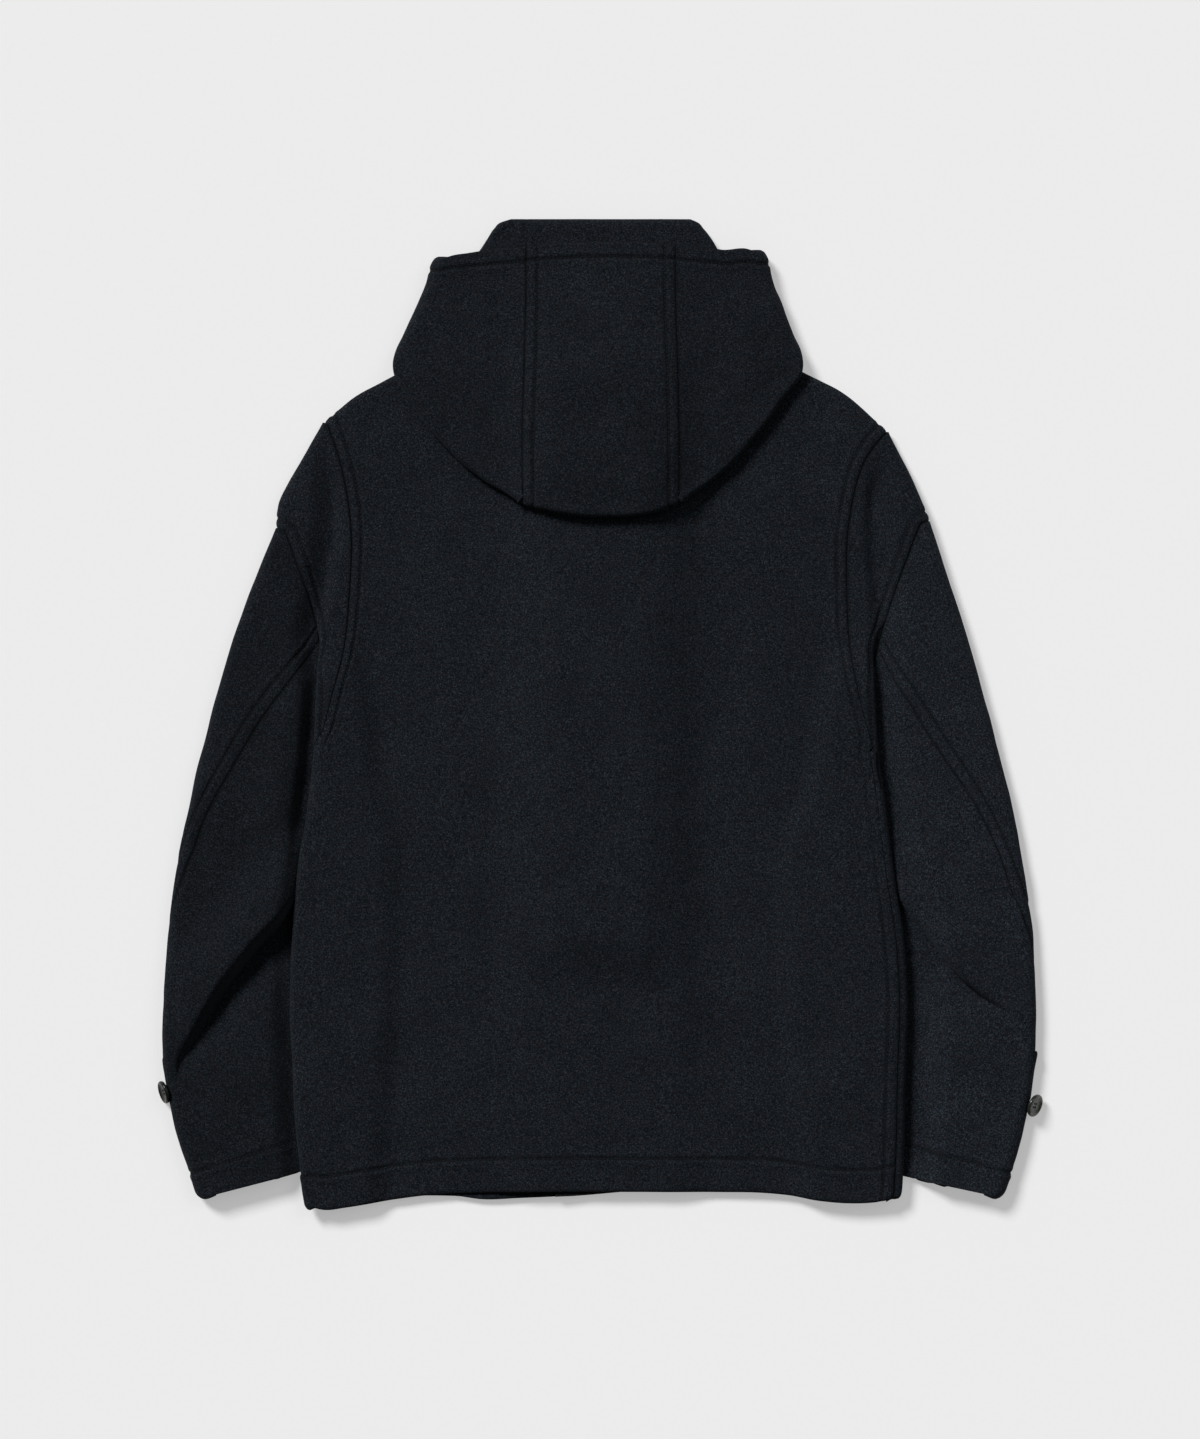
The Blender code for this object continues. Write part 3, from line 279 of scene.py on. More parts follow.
def rolled(edge_x, top, bottom, outward, angle):
    """Places on a side edge's roll: 0 degrees is on top, 180 underneath."""
    radius = (top - bottom) / 2
    turn = np.radians(angle)
    centre = edge_x - outward * (radius + HALF)
    return centre + outward * radius * np.sin(turn), (top + bottom) / 2 + radius * np.cos(turn)


def side_of_body(side, y):
    """X of the body's side: the folded edge, or the armhole seam above the underarm."""
    fold = smooth((UNDERARM_Y - 2.0 - y) / UNDERARM_RUN)
    seam = track(ARMHOLE, "y", side, y)
    return seam + (body_edge(side, y) - seam) * fold, fold


def over_edge(side, level, arc):
    """Places on the body's side at lengths of cloth past the end of its flat part."""
    outward = OUTWARD[side]
    edge = float(body_edge(side, level))
    top = float(back_height(edge - outward * SAMPLE, level))
    radius = (top - float(front_height(side, edge - outward * SAMPLE, level))) / 2
    flat_end = edge - outward * (radius + HALF)
    turn = np.maximum(arc, 0.0) / radius
    x = flat_end + outward * (np.minimum(arc, 0.0) + radius * np.sin(turn))
    z = back_height(x, level)
    z = z + (top - z) * smooth(1 + arc / 10.0) - radius * (1 - np.cos(turn))
    return x, z


def seam_arc(side, level):
    """How much cloth lies between the end of the body's flat part and the back's border, and how far
    the cap reaches. The left border slips out over the rolled edge at the underarm."""
    outward = OUTWARD[side]
    edge = float(body_edge(side, level))
    near = edge - outward * SAMPLE
    radius = float(back_height(near, level) - front_height(side, near, level)) / 2
    on_top = outward * (float(track(ARMHOLE, "y", side, level)) - edge) + radius + HALF
    slips = float(smooth((UNDERARM_Y + 18.0 - level) / 34.0)) if side == "left" else 0.0
    slipped = radius * math.radians(ROLL_END)
    return on_top + (slipped - on_top) * slips, radius * math.radians(CAP_ROLL_END)


def body_y(x, level, column, left, right):
    """Y of a level at x: it follows the hem below and the shoulders above."""
    t = (level - LOWEST_LEVEL) / (HIGHEST_LEVEL - LOWEST_LEVEL)
    across = (x - left) / (right - left)
    low = track(HEM, "x", column, x)
    low_line = track(HEM, "x", column, left) * (1 - across) + track(HEM, "x", column, right) * across
    high = track(TOP, "x", column, x)
    high_line = track(TOP, "x", column, left) * (1 - across) + track(TOP, "x", column, right) * across
    at_hem = np.clip((HEM_LEVEL - level) / (HEM_LEVEL - LOWEST_LEVEL), 0, 1)
    base = level + (low_line - LOWEST_LEVEL) * at_hem
    at_shoulder = (high_line - HIGHEST_LEVEL + SHOULDER_INSET) * t**8
    return base + (low - low_line) * (1 - t) ** 2 + (high - high_line) * t + at_shoulder


def run_lengths(grid, axis):
    """How far each point lies from the grid's first and last line, along the cloth."""
    steps = np.linalg.norm(np.diff(grid, axis=axis), axis=2)
    zero = np.zeros_like(np.take(steps, [0], axis=axis))
    ahead = np.concatenate([zero, np.cumsum(steps, axis=axis)], axis=axis)
    return ahead, np.take(ahead, [-1], axis=axis) - ahead


# A line of stitches runs beside a border of its panel: "first row", "last column" and so on. inset is
# its distance from the border, and raised is how much thicker the cloth is between them. fades gives the
# line's strength at levels of Y, where it sinks into the nap.
Sewn = namedtuple("Sewn", "border inset raised fades", defaults=((),))
# A tucked border slips under the neighbouring panel, as a seam's hidden edge does.
Tuck = namedtuple("Tuck", "border length sink")
GROOVE_DEPTH = 0.9
GROOVE_WIDTH = 1.5
PRESS_AND_SHADE_WIDTH = 1.3
PUFF = 0.45
PUFFS = ((4.2, 2.8, 0.5), (-3.8, 2.4, -0.5))  # place, width and sway of the puffs beside a groove
BORDER_DROP = 1.1
BORDER_ROUND = 1.5
STITCH = 3.6
stitch_lines = []


def puckers(where, chance):
    """Uneven pull of the thread along a seam, from about -1 to 1."""
    pull = np.zeros_like(where)
    for length in (9.0, 13.0, 21.0, 34.0, 55.0):
        pull += np.sin(where * 2 * math.pi / length + chance.uniform(0, 6.3)) * (length / 55) ** 0.4
    return pull / 3.0


def strength_at(fades, y):
    """How clearly a sewn line or a border shows at each level, from 0 to 1."""
    if not fades:
        return np.ones_like(y)
    levels, strengths = zip(*fades)
    return np.interp(y, levels, strengths)


def border_distances(middle):
    """How far each point of a grid lies from each of its borders."""
    distance = dict(zip(("first row", "last row"), run_lengths(middle, 0)))
    distance.update(zip(("first column", "last column"), run_lengths(middle, 1)))
    return distance


def relief_of_sewing(middle, sewn, tucks, borders, seed):
    """Height added by hems, welts, stitch grooves, the puckers beside them, and the rounded borders, and
    a darkening from 0 to 1: partly the wool pressed down by the thread, partly painted shade in the grooves
    and along the borders."""
    distance = border_distances(middle)
    along = {"row": distance["first column"], "column": distance["first row"]}
    hidden = [tuck.border for tuck in tucks]
    total = np.zeros(middle.shape[:2])
    pressed_and_painted_shade = np.zeros(middle.shape[:2])
    for border, gap in distance.items():
        shown = strength_at(borders.get(border), middle[..., 1])
        if border not in hidden:
            total -= BORDER_DROP * shown * np.exp(-((gap / BORDER_ROUND) ** 2))
        # Painted shade along every border of the panel.
        pressed_and_painted_shade = np.maximum(pressed_and_painted_shade, 0.8 * shown * np.exp(-((gap / PRESS_AND_SHADE_WIDTH) ** 2)))
    chance = np.random.default_rng(seed)
    for line in sewn:
        gap = distance[line.border] - line.inset
        pull = puckers(along[line.border.split()[1]], chance)
        added = line.raised * smooth((0.9 - gap) / 1.8)
        added -= GROOVE_DEPTH * (1 + 0.3 * pull) * np.exp(-((gap / GROOVE_WIDTH) ** 2))
        for place, width, sway in PUFFS:
            added += PUFF * (1 + sway * pull) * np.exp(-(((gap - place) / width) ** 2))
        strength = strength_at(line.fades, middle[..., 1])
        total += added * strength
        # The darkening in a groove: partly the wool pressed by the thread, partly painted shade.
        sunk = strength * (0.85 + 0.15 * pull) * np.exp(-((gap / PRESS_AND_SHADE_WIDTH) ** 2))
        pressed_and_painted_shade = np.maximum(pressed_and_painted_shade, sunk)
    return total, pressed_and_painted_shade


def stitch_path(upper, normal, line, middle):
    """Places along a line of stitches, with the cloth's outward direction at each."""
    gap = border_distances(middle)[line.border] - line.inset
    if line.border.endswith("row"):
        gap, upper, normal = gap.T, upper.transpose(1, 0, 2), normal.transpose(1, 0, 2)
    if line.border.startswith("last"):
        gap, upper, normal = gap[:, ::-1], upper[:, ::-1], normal[:, ::-1]
    beyond = np.argmax(gap > 0, axis=1)
    lines = np.arange(len(gap))
    near, far = gap[lines, beyond - 1], gap[lines, beyond]
    share = (-near / (far - near))[:, None]
    places = upper[lines, beyond - 1] * (1 - share) + upper[lines, beyond] * share
    places[:, 2] = np.maximum(places[:, 2], 1.0)
    shown = (beyond > 0) & (strength_at(line.fades, places[:, 1]) > 0.4)
    return places[shown], normal[lines, beyond][shown]


def slipped_under(fields, tuck):
    """A panel's grids of places, outward directions, heights, and pressing with painted shade, with its
    border carried on under the neighbouring panel, where the cloth is painted fully dark as shade."""
    if tuck.border.endswith("column"):
        fields = [field.transpose(1, 0, 2) for field in fields]
    if tuck.border.startswith("last"):
        fields = [field[::-1] for field in fields]
    edge, outward, height, pressed_and_painted_shade = (field[0] for field in fields)
    ahead = edge - fields[0][1]
    ahead /= np.maximum(np.linalg.norm(ahead, axis=1, keepdims=True), 1e-9)
    length = np.broadcast_to(np.asarray(tuck.length, float), len(edge))[:, None]
    sink = tuck.sink * np.minimum(length / 3.0, 1.0)
    added = [edge + ahead * length * share - outward * sink * sunk
             for share, sunk in ((1.0, 1.0), (0.4, 1.0), (0.22, 0.85), (0.1, 0.4))]
    fields[0] = np.concatenate([added, fields[0]])
    # The cloth carried under the neighbour is painted fully dark, as shade.
    for number, values in ((1, outward), (2, height * 0), (3, pressed_and_painted_shade * 0 + 1)):
        fields[number] = np.concatenate([[values] * 4, fields[number]])
    if tuck.border.startswith("last"):
        fields = [field[::-1] for field in fields]
    if tuck.border.endswith("column"):
        fields = [field.transpose(1, 0, 2) for field in fields]
    return fields


def rim_of(grid):
    """The outermost points of a grid, in order round it."""
    return np.concatenate([grid[0], grid[1:, -1], grid[-1, -2::-1], grid[-2:0:-1, 0]])


def quads_of(index):
    """The faces between the points of a grid."""
    corners = (index[:-1, :-1], index[:-1, 1:], index[1:, 1:], index[1:, :-1])
    return np.stack([corner.ravel() for corner in corners], axis=1)


def new_piece(name, points, faces):
    """An object with a smooth mesh, from points in millimetres."""
    mesh = bpy.data.meshes.new(name)
    mesh.from_pydata((points * MM).tolist(), [], faces)
    mesh.shade_smooth()
    piece = bpy.data.objects.new(name, mesh)
    bpy.context.scene.collection.objects.link(piece)
    return piece


def stitched_cloth(name, middle, sewn=(), tucks=(), face="up", seed=1, rough=0.3, borders=None):
    """A closed wall of cloth on a grid of middle points, with its sewing raised on the outer face.

    face says which side is the outer one: up, down, or round for a tube's wall. borders gives how
    clearly a border's groove shows, as fades by level.
    """
    middle = np.asarray(middle, float)
    normal = np.cross(np.gradient(middle, axis=1), np.gradient(middle, axis=0))
    normal /= np.maximum(np.linalg.norm(normal, axis=2, keepdims=True), 1e-9)
    height = middle[..., 2] - middle[..., 2].mean()
    facing = {"up": 1.0, "down": -1.0, "round": height}[face]
    turned = bool((normal[..., 2] * facing).mean() < 0)
    if turned:
        normal = -normal
    above, pressed_and_painted_shade = relief_of_sewing(middle, sewn, tucks, borders or {}, seed)
    above = above + ripple(middle[..., 0] + 0.6 * middle[..., 2], middle[..., 1], rough, seed)
    for line in sewn:
        stitch_lines.append(stitch_path(middle + normal * (HALF + above)[..., None], normal, line, middle))
    fields = [middle, normal, above[..., None], pressed_and_painted_shade[..., None]]
    for tuck in tucks:
        fields = slipped_under(fields, tuck)
    middle, normal, above, pressed_and_painted_shade = fields[0], fields[1], fields[2][..., 0], fields[3][..., 0]
    rows, columns = middle.shape[:2]
    upper = middle + normal * (HALF + above)[..., None]
    lower = middle - normal * (HALF - FLOOR_GAP)
    border = rim_of(middle)
    for grid in (upper, lower, border):
        grid[..., 2] = np.maximum(grid[..., 2], FLOOR_GAP)
    count = rows * columns
    index = np.arange(count).reshape(rows, columns)
    top_faces = quads_of(index)
    rim = rim_of(index)
    edge = 2 * count + np.arange(len(rim))
    ahead, edge_ahead = np.roll(rim, -1), np.roll(edge, -1)
    faces = [top_faces, top_faces[:, ::-1] + count, np.stack([rim, edge, edge_ahead, ahead], axis=1),
             np.stack([edge, rim + count, ahead + count, edge_ahead], axis=1)]
    if turned:
        faces = [group[:, ::-1] for group in faces]
    points = np.concatenate([upper.reshape(-1, 3), lower.reshape(-1, 3), border])
    piece = new_piece(name, points, np.concatenate(faces).tolist())
    # The seam attribute carries the darkening to the colour: pressed wool and painted shade, less on the
    # underside.
    seam = piece.data.attributes.new("seam", "FLOAT", "POINT")
    shares = [pressed_and_painted_shade.ravel(), 0.4 * pressed_and_painted_shade.ravel(), rim_of(pressed_and_painted_shade)]
    seam.data.foreach_set("value", np.concatenate(shares))
    return piece


class Maths:
    """A shader value that can be added, subtracted and multiplied in plain expressions."""

    def __init__(self, nodes, socket):
        self.nodes = nodes
        self.socket = socket

    def _with(self, operation, other, turned=False):
        pair = (other, self) if turned else (self, other)
        return self.nodes.add("ShaderNodeMath", {"operation": operation}, {0: pair[0], 1: pair[1]})

    def __add__(self, other):
        return self._with("ADD", other)

    __radd__ = __add__

    def __sub__(self, other):
        return self._with("SUBTRACT", other)

    def __rsub__(self, other):
        return self._with("SUBTRACT", other, turned=True)

    def __mul__(self, other):
        return self._with("MULTIPLY", other)

    __rmul__ = __mul__


class Finish:
    """A material and its nodes."""

    def __init__(self, name):
        self.material = bpy.data.materials.new(name)
        self.material.use_nodes = True
        self.tree = self.material.node_tree
        self.shader = self.tree.nodes["Principled BSDF"]

    def add(self, kind, settings=None, values=None, output=0):
        """A node of this kind, its settings set first and then its sockets' values or links."""
        node = self.tree.nodes.new(kind)
        for name, value in (settings or {}).items():
            if name == "stops":
                ramp = node.color_ramp
                while len(ramp.elements) < len(value):
                    ramp.elements.new(0.5)
                for element, (place, color) in zip(ramp.elements, value):
                    element.position = place
                    element.color = (*color, 1.0)
            else:
                setattr(node, name, value)
        for name, value in (values or {}).items():
            self.join(value, node.inputs[name])
        return Maths(self, node.outputs[output])

    def noise(self, **values):
        """Noise of this Scale, Detail and so on, laid in the object's own coordinates."""
        place = self.add("ShaderNodeTexCoord", output=3)
        return self.add("ShaderNodeTexNoise", {}, {"Vector": place, **values})

    def ramp(self, value, *stops):
        """A colour for a value, from stops of (place, colour)."""
        return self.add("ShaderNodeValToRGB", {"stops": stops}, {0: value})

    def mixed(self, share, color, other):
        """A colour with this share of another one."""
        values = {0: share, 6: color, 7: (*other, 1.0)}
        return self.add("ShaderNodeMix", {"data_type": "RGBA"}, values, output=2)

    def join(self, value, socket):
        """Links a shader value to a socket, or sets a plain value on it."""
        if isinstance(value, Maths):
            self.tree.links.new(value.socket, socket)
        else:
            socket.default_value = value

    def feed(self, **values):
        """Sets the shader's sockets, named with _ for a space."""
        for name, value in values.items():
            self.join(value, self.shader.inputs[name.replace("_", " ")])


WOOL_DARK = (0.0007, 0.0010, 0.0015)
WOOL_MID = (0.0039, 0.0057, 0.0083)
WOOL_LIGHT = (0.0250, 0.0320, 0.0400)
PLUM = (0.014, 0.0085, 0.0105)


def melton(name, painted_brightness=1.0):
    """Felted wool: a dark navy blend with fine paler fibres and a short nap. A given share scales its
    colour, painting a piece lighter or darker as light and shade.
    """
    wool = Finish(name)
    cloudy = wool.noise(Scale=26.0, Detail=2.0)
    felt = wool.noise(Scale=980.0, Detail=2.0, Roughness=0.6, Distortion=0.6)
    tufts = wool.noise(Scale=600.0, Detail=2.0, Roughness=0.6)
    hue = wool.noise(Scale=330.0, Detail=1.0)
    color = wool.ramp(felt * 0.62 + tufts * 0.33 + cloudy * 0.05,
                      (0.36, WOOL_DARK), (0.5, WOOL_MID), (0.645, WOOL_LIGHT))
    reddish = wool.add("ShaderNodeMapRange", {}, {0: hue, 1: 0.5, 2: 0.68, 3: 0.0, 4: 0.3})
    color = wool.mixed(reddish, color, PLUM)
    # Painted light and shade: the whole colour is scaled up or down for a piece.
    color = wool.add("ShaderNodeVectorMath", {"operation": "SCALE"}, {0: color, "Scale": painted_brightness})
    # Painted shade, with pressed wool: the seam attribute darkens the colour in grooves and along borders.
    seam = wool.add("ShaderNodeAttribute", {"attribute_name": "seam"}, output=2)
    color = wool.mixed(seam * 0.85, color, WOOL_DARK)
    pile = {"Strength": 0.5, "Distance": 0.0011, "Height": felt * 0.7 + tufts * 0.3}
    nap = wool.add("ShaderNodeBump", {}, pile)
    wool.feed(Base_Color=color, Roughness=0.95, Specular_IOR_Level=0.08, Normal=nap)
    wool.feed(Sheen_Weight=0.03, Sheen_Roughness=0.5, Sheen_Tint=(0.7, 0.8, 0.95, 1.0))
    return wool.material


wool = melton("dark navy melton")
# The sleeves share one melton, painted darker on the left as shade and lighter on the right as light.
lit_and_shaded_sleeve_wool = {
    "left": melton("melton painted darker as shade", 0.76),
    "right": melton("melton painted lighter as light", 1.2),
}


def dress(piece, finish, node):
    """Gives a piece its finish, hangs it on the root body, and hides the solid that it stands for."""
    if finish is not None:
        piece.data.materials.append(finish)
    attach(piece, "root")
    if node:
        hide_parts(node)


def steps_to(*stops):
    """Values through the stops, each given as (value, spacing up to the next stop)."""
    values = []
    for (start, spacing), (stop, _) in zip(stops, stops[1:]):
        count = max(1, round(abs(stop - start) / spacing))
        values += list(start + (stop - start) * np.arange(count) / count)
    return np.array(values + [stops[-1][0]])


def spread_over(*stops):
    """Places through the stops, each given as (place, how many places run up to the next stop)."""
    runs = [np.linspace(a, b, count) for (a, count), (b, _) in zip(stops, stops[1:])]
    return np.concatenate([run[:-1] for run in runs[:-1]] + [runs[-1]])


WELT_PLACES = np.concatenate([[0.0, 0.6], np.arange(1.3, 13.0, 1.05), [14.0, 15.6, 17.6]])
BODY_LEVELS = steps_to((LOWEST_LEVEL, 0.9), (-437.0, 2.2), (-417.0, 1.0), (-404.0, 4.0), (-44.0, 0.8),
                       (-26.0, 4.0), (246.0, 1.0), (HIGHEST_LEVEL, 1))
SHOULDER_ANGLES = (10.0, 22.0, 34.0, 46.0, 58.0, 70.0, 82.0)
# How clearly the body's seams show at levels of Y.
LEFT_SEAM = ((-40.0, 0.1), (-5.0, 0.15), (40.0, 0.8), (70.0, 1.0))
RIGHT_SEAM = ((-225.0, 1.0), (-170.0, 0.4), (-120.0, 0.15), (-5.0, 0.15), (40.0, 0.8), (70.0, 1.0))


def shoulder_rows(last, angles):
    """Rows that carry a panel's top edge round the folded shoulder. The necklines stay flat."""
    x, y, z = last[:, 0], last[:, 1], last[:, 2]
    slope = np.gradient(y, x)
    size = np.hypot(1, slope)
    centre = (back_height(x, y) + front_height("left", x, y)) / 2
    radius = np.abs(z - centre)
    folds = smooth((np.abs(x) - 78.0) / 14.0)
    rows = []
    for number, angle in enumerate(angles):
        out = radius * math.sin(math.radians(angle)) * folds + (number + 1) * 0.3 * (1 - folds)
        rise = radius * math.cos(math.radians(angle)) * folds
        height = z + (centre - z) * folds + rise
        rows.append(np.stack([x - out * slope / size, y + out / size, height], axis=1))
    return rows


def back_middle():
    """The back's grid, from the left edge's roll or armhole seam to the right side seam."""
    rows = []
    for level in BODY_LEVELS:
        left, left_fold = side_of_body("left", level)
        right, right_fold = side_of_body("right", level)
        top = back_height(left + SAMPLE, level)
        bottom = front_height("left", left + SAMPLE, level)
        flat_x = left + SEAM / 2 + WELT_PLACES
        flat_y = body_y(flat_x, level, "back", left, right)
        angle = ROLL_END * (1 - WELT_PLACES / WELT_PLACES[-1])
        roll_x, roll_z = rolled(left, top, bottom, -1, angle)
        flat_z = back_height(flat_x, flat_y)
        # Round the underarm the border passes from the flat seam, over a slipped stretch, to the roll.
        if UNDERARM_Y - 30.0 < level < UNDERARM_Y + 60.0:
            arc = seam_arc("left", level)[0] - SEAM / 2 - WELT_PLACES
            slip_x, slip_z = over_edge("left", level, arc)
            flat = smooth((level - UNDERARM_Y - 30.0) / 28.0)
            rolls = smooth((UNDERARM_Y - 18.0 - level) / 10.0)
            shares = np.array([flat, (1 - flat) * (1 - rolls), rolls])
            start_x = shares @ np.stack([flat_x, slip_x, roll_x])
            start_z = shares @ np.stack([flat_z, slip_z, roll_z])
        else:
            start_x = flat_x + (roll_x - flat_x) * left_fold
            start_z = flat_z + (roll_z - flat_z) * left_fold
        start = np.stack([start_x, flat_y, start_z], axis=1)
        seam_x = right - (SEAM / 2) * (1 - right_fold) - (RIGHT_WRAP + 2 * SEAM) * right_fold
        end_x = seam_x - WELT_PLACES[::-1]
        across = np.linspace(0, 1, 128)[1:-1]
        x = np.concatenate([start[-1, 0] + (end_x[0] - start[-1, 0]) * across, end_x])
        y = body_y(x, level, "back", left, right)
        rows.append(np.concatenate([start, np.stack([x, y, back_height(x, y)], axis=1)]))
    rows += shoulder_rows(rows[-1], SHOULDER_ANGLES)
    return np.array(rows)


back = stitched_cloth(
    "back_panel",
    back_middle(),
    (
        Sewn("first row", HEM_DEPTH, 0.9),
        Sewn("first column", WELT, 0.5, ((-44.0, 0.0), (-14.0, 1.0))),
        Sewn("last column", WELT, 0.5, ((-190.0, 1.0), (-130.0, 0.45), (-44.0, 0.3), (-14.0, 1.0))),
    ),
    seed=3,
    borders={"first column": LEFT_SEAM, "last column": RIGHT_SEAM},
)
dress(back, wool, "back")

# ---------------------------------------------------------------------------------------------
# Fronts: two panels of the same melton under the back. The left one laps over the right, and the
# right one's side edge comes up round the body as far as the side seam.
# ---------------------------------------------------------------------------------------------
FRONT_INNER = (94.0, 86.0, 78.0, 70.0, 62.0, 52.0, 44.0, 32.0, 20.0, 5.0, -10.0, -25.0, -OVERLAP)
FRONT_LEVELS = steps_to((LOWEST_LEVEL, 1.2), (-437.0, 4.0), (-417.0, 1.6), (-405.0, 6.0), (-44.0, 1.0),
                        (-26.0, 8.0), (HIGHEST_LEVEL, 1))
FRONT_SHOULDER_ANGLES = (170.0, 155.0, 138.0, 118.0, 98.0)
FRONT_START, FRONT_TURN = 2.0, 12.0  # where the flat cloth starts in from the side, and its turn's width


def front_middle(side):
    """A front's grid, from its side seam to its free edge."""
    outward = OUTWARD[side]
    angles = np.linspace(132.0, 180.0, 8) if side == "left" else np.linspace(0.0, 180.0, 17)
    rows = []
    for level in FRONT_LEVELS:
        left = side_of_body("left", level)[0]
        right = side_of_body("right", level)[0]
        edge, fold = side_of_body(side, level)
        top = back_height(edge - outward * SAMPLE, level)
        bottom = front_height(side, edge - outward * SAMPLE, level)
        parts = []
        if side == "right":
            x = edge - (RIGHT_WRAP * fold + (SEAM / 2) * (1 - fold))
            y = body_y(x, level, "back", left, right)
            z = front_height(side, x, y)
            parts.append([(x, y, z + (back_height(x, y) - z) * fold)])
        flat_x = edge - outward * (SEAM / 2 + FRONT_START + np.linspace(0.0, FRONT_TURN, len(angles)))
        y = body_y(flat_x, level, "front", left, right)
        roll_x, roll_z = rolled(edge, top, bottom, outward, angles)
        z = front_height(side, flat_x, y)
        parts.append(np.stack([flat_x + (roll_x - flat_x) * fold, y, z + (roll_z - z) * fold], axis=1))
        start = parts[-1][-1, 0]
        x = start + (outward * FRONT_INNER[0] - start) * np.linspace(0, 1, 24)[1:-1]
        x = np.concatenate([x, outward * np.array(FRONT_INNER)])
        y = body_y(x, level, "front", left, right)
        parts.append(np.stack([x, y, front_height(side, x, y)], axis=1))
        rows.append(np.concatenate(parts))
    rows += shoulder_rows(rows[-1], FRONT_SHOULDER_ANGLES)
    return np.array(rows)


for side in ("left", "right"):
    front = stitched_cloth(
        f"front_panel_{side}",
        front_middle(side),
        (Sewn("last column", WELT, 0.5),),
        (Tuck("first column", 6.0, 3.2),) if side == "right" else (),
        "down",
        seed=11,
        rough=0.15,
        borders={"first column": RIGHT_SEAM},
    )
    dress(front, wool, f"front_{side}")

# ---------------------------------------------------------------------------------------------
# Sleeves: two panels each, the outer one lapped over the inner along a back seam that is stitched
# twice. The cloth lies double, with its inner edge tucked under the body, and breaks at the elbow.
# ---------------------------------------------------------------------------------------------
SLEEVE_LOFT = 11.0
SLEEVE_CLEAR = 0.6  # air inside the sleeve where the body lies on it
CUFF_DEPTH = 29.0
Section = namedtuple("Section", "outer_x outer_y inner_x inner_y bow seam")
SLEEVES = {
    "left": table(
        Section,
        (-291.0, 166.0, -232.0, -52.0, 9.0, 0.52), (-308.0, 125.0, -230.8, -60.0, 6.0, 0.548),
        (-328.0, 71.0, -229.0, -68.0, 3.0, 0.613), (-345.0, 14.0, -226.8, -77.0, 1.0, 0.711),
        (-359.0, -38.0, -224.0, -86.0, 0.0, 0.802), (-372.0, -96.0, -221.5, -94.0, 0.0, 0.914),
        (-382.5, -156.0, -220.0, -101.0, 0.0, 0.965), (-389.5, -217.0, -219.0, -107.0, 2.0, 1.02),
        (-392.5, -268.0, -218.3, -113.0, 6.0, 1.05), (-393.0, -306.0, -218.0, -119.0, 10.0, 1.06),
        (-390.5, -327.0, -218.0, -127.0, 11.0, 1.06), (-387.0, -347.0, -218.0, -140.0, 9.0, 1.06),
        (-382.0, -373.0, -219.0, -200.0, 4.0, 1.06), (-374.0, -398.0, -222.0, -300.0, 0.0, 1.06),
        (-368.5, -413.0, -226.0, -376.0, 0.0, 1.06), (-361.0, -437.0, -228.0, -403.0, 0.0, 1.06),
    ),
    "right": table(
        Section,
        (296.5, 172.0, 222.0, -50.0, -6.0, 0.47), (310.0, 130.0, 220.5, -58.0, -3.0, 0.496),
        (325.0, 84.0, 218.5, -66.0, -1.0, 0.538), (342.0, 26.0, 216.0, -74.0, 0.0, 0.61),
        (356.5, -28.0, 212.5, -82.0, 0.0, 0.704), (371.0, -87.0, 208.0, -90.0, 0.0, 0.83),
        (380.5, -140.0, 204.0, -97.0, 0.0, 0.916), (388.5, -200.0, 201.0, -104.0, 2.0, 0.972),
        (391.5, -258.0, 199.0, -111.0, 3.0, 1.02), (392.0, -282.0, 198.0, -120.0, 3.0, 1.05),
        (391.0, -305.0, 198.0, -134.0, 3.0, 1.06), (388.5, -330.0, 198.0, -190.0, 2.0, 1.06),
        (384.0, -358.0, 200.0, -270.0, 0.0, 1.06), (376.0, -392.0, 206.0, -345.0, 0.0, 1.06),
        (370.5, -409.0, 211.0, -378.0, 0.0, 1.06), (361.0, -437.0, 214.0, -405.0, 0.0, 1.06),
    ),
}
# The elbow break runs from the body's edge to the cuff strap: a ridge, a steep drop on its hem side,
# and a slow rise again. drop is how far it falls at each point, and back is how slowly it rises.
Break = namedtuple("Break", "x y ridge drop back")
ELBOW = {
    "left": table(
        Break,
        (-255.0, -148.0, 9.0, 25.0, 36.0), (-262.0, -158.0, 12.0, 28.0, 42.0),
        (-275.0, -173.0, 15.0, 30.0, 46.0), (-288.0, -188.0, 14.5, 29.0, 43.0),
        (-304.0, -204.0, 13.0, 26.0, 35.0), (-321.0, -224.0, 12.0, 24.0, 30.0),
        (-338.0, -245.0, 10.0, 20.0, 25.0), (-354.0, -272.0, 7.5, 17.0, 24.0),
        (-367.0, -294.0, 4.6, 11.0, 19.0), (-380.0, -314.0, 2.2, 5.0, 15.0),
        (-389.0, -330.0, 0.5, 0.9, 11.0),
    ),
    "right": table(
        Break,
        (258.0, -148.0, 6.5, 20.0, 30.0), (268.0, -166.0, 8.5, 23.0, 28.0),
        (279.0, -182.0, 9.5, 24.0, 24.0), (292.5, -197.0, 9.2, 22.5, 19.0),
        (310.0, -219.0, 8.0, 19.5, 14.0), (328.0, -240.0, 6.0, 15.5, 11.0),
        (346.0, -255.0, 3.0, 9.0, 9.0), (358.0, -262.5, 1.2, 3.2, 8.0),
        (372.0, -270.0, 0.2, 0.2, 10.0),
    ),
}
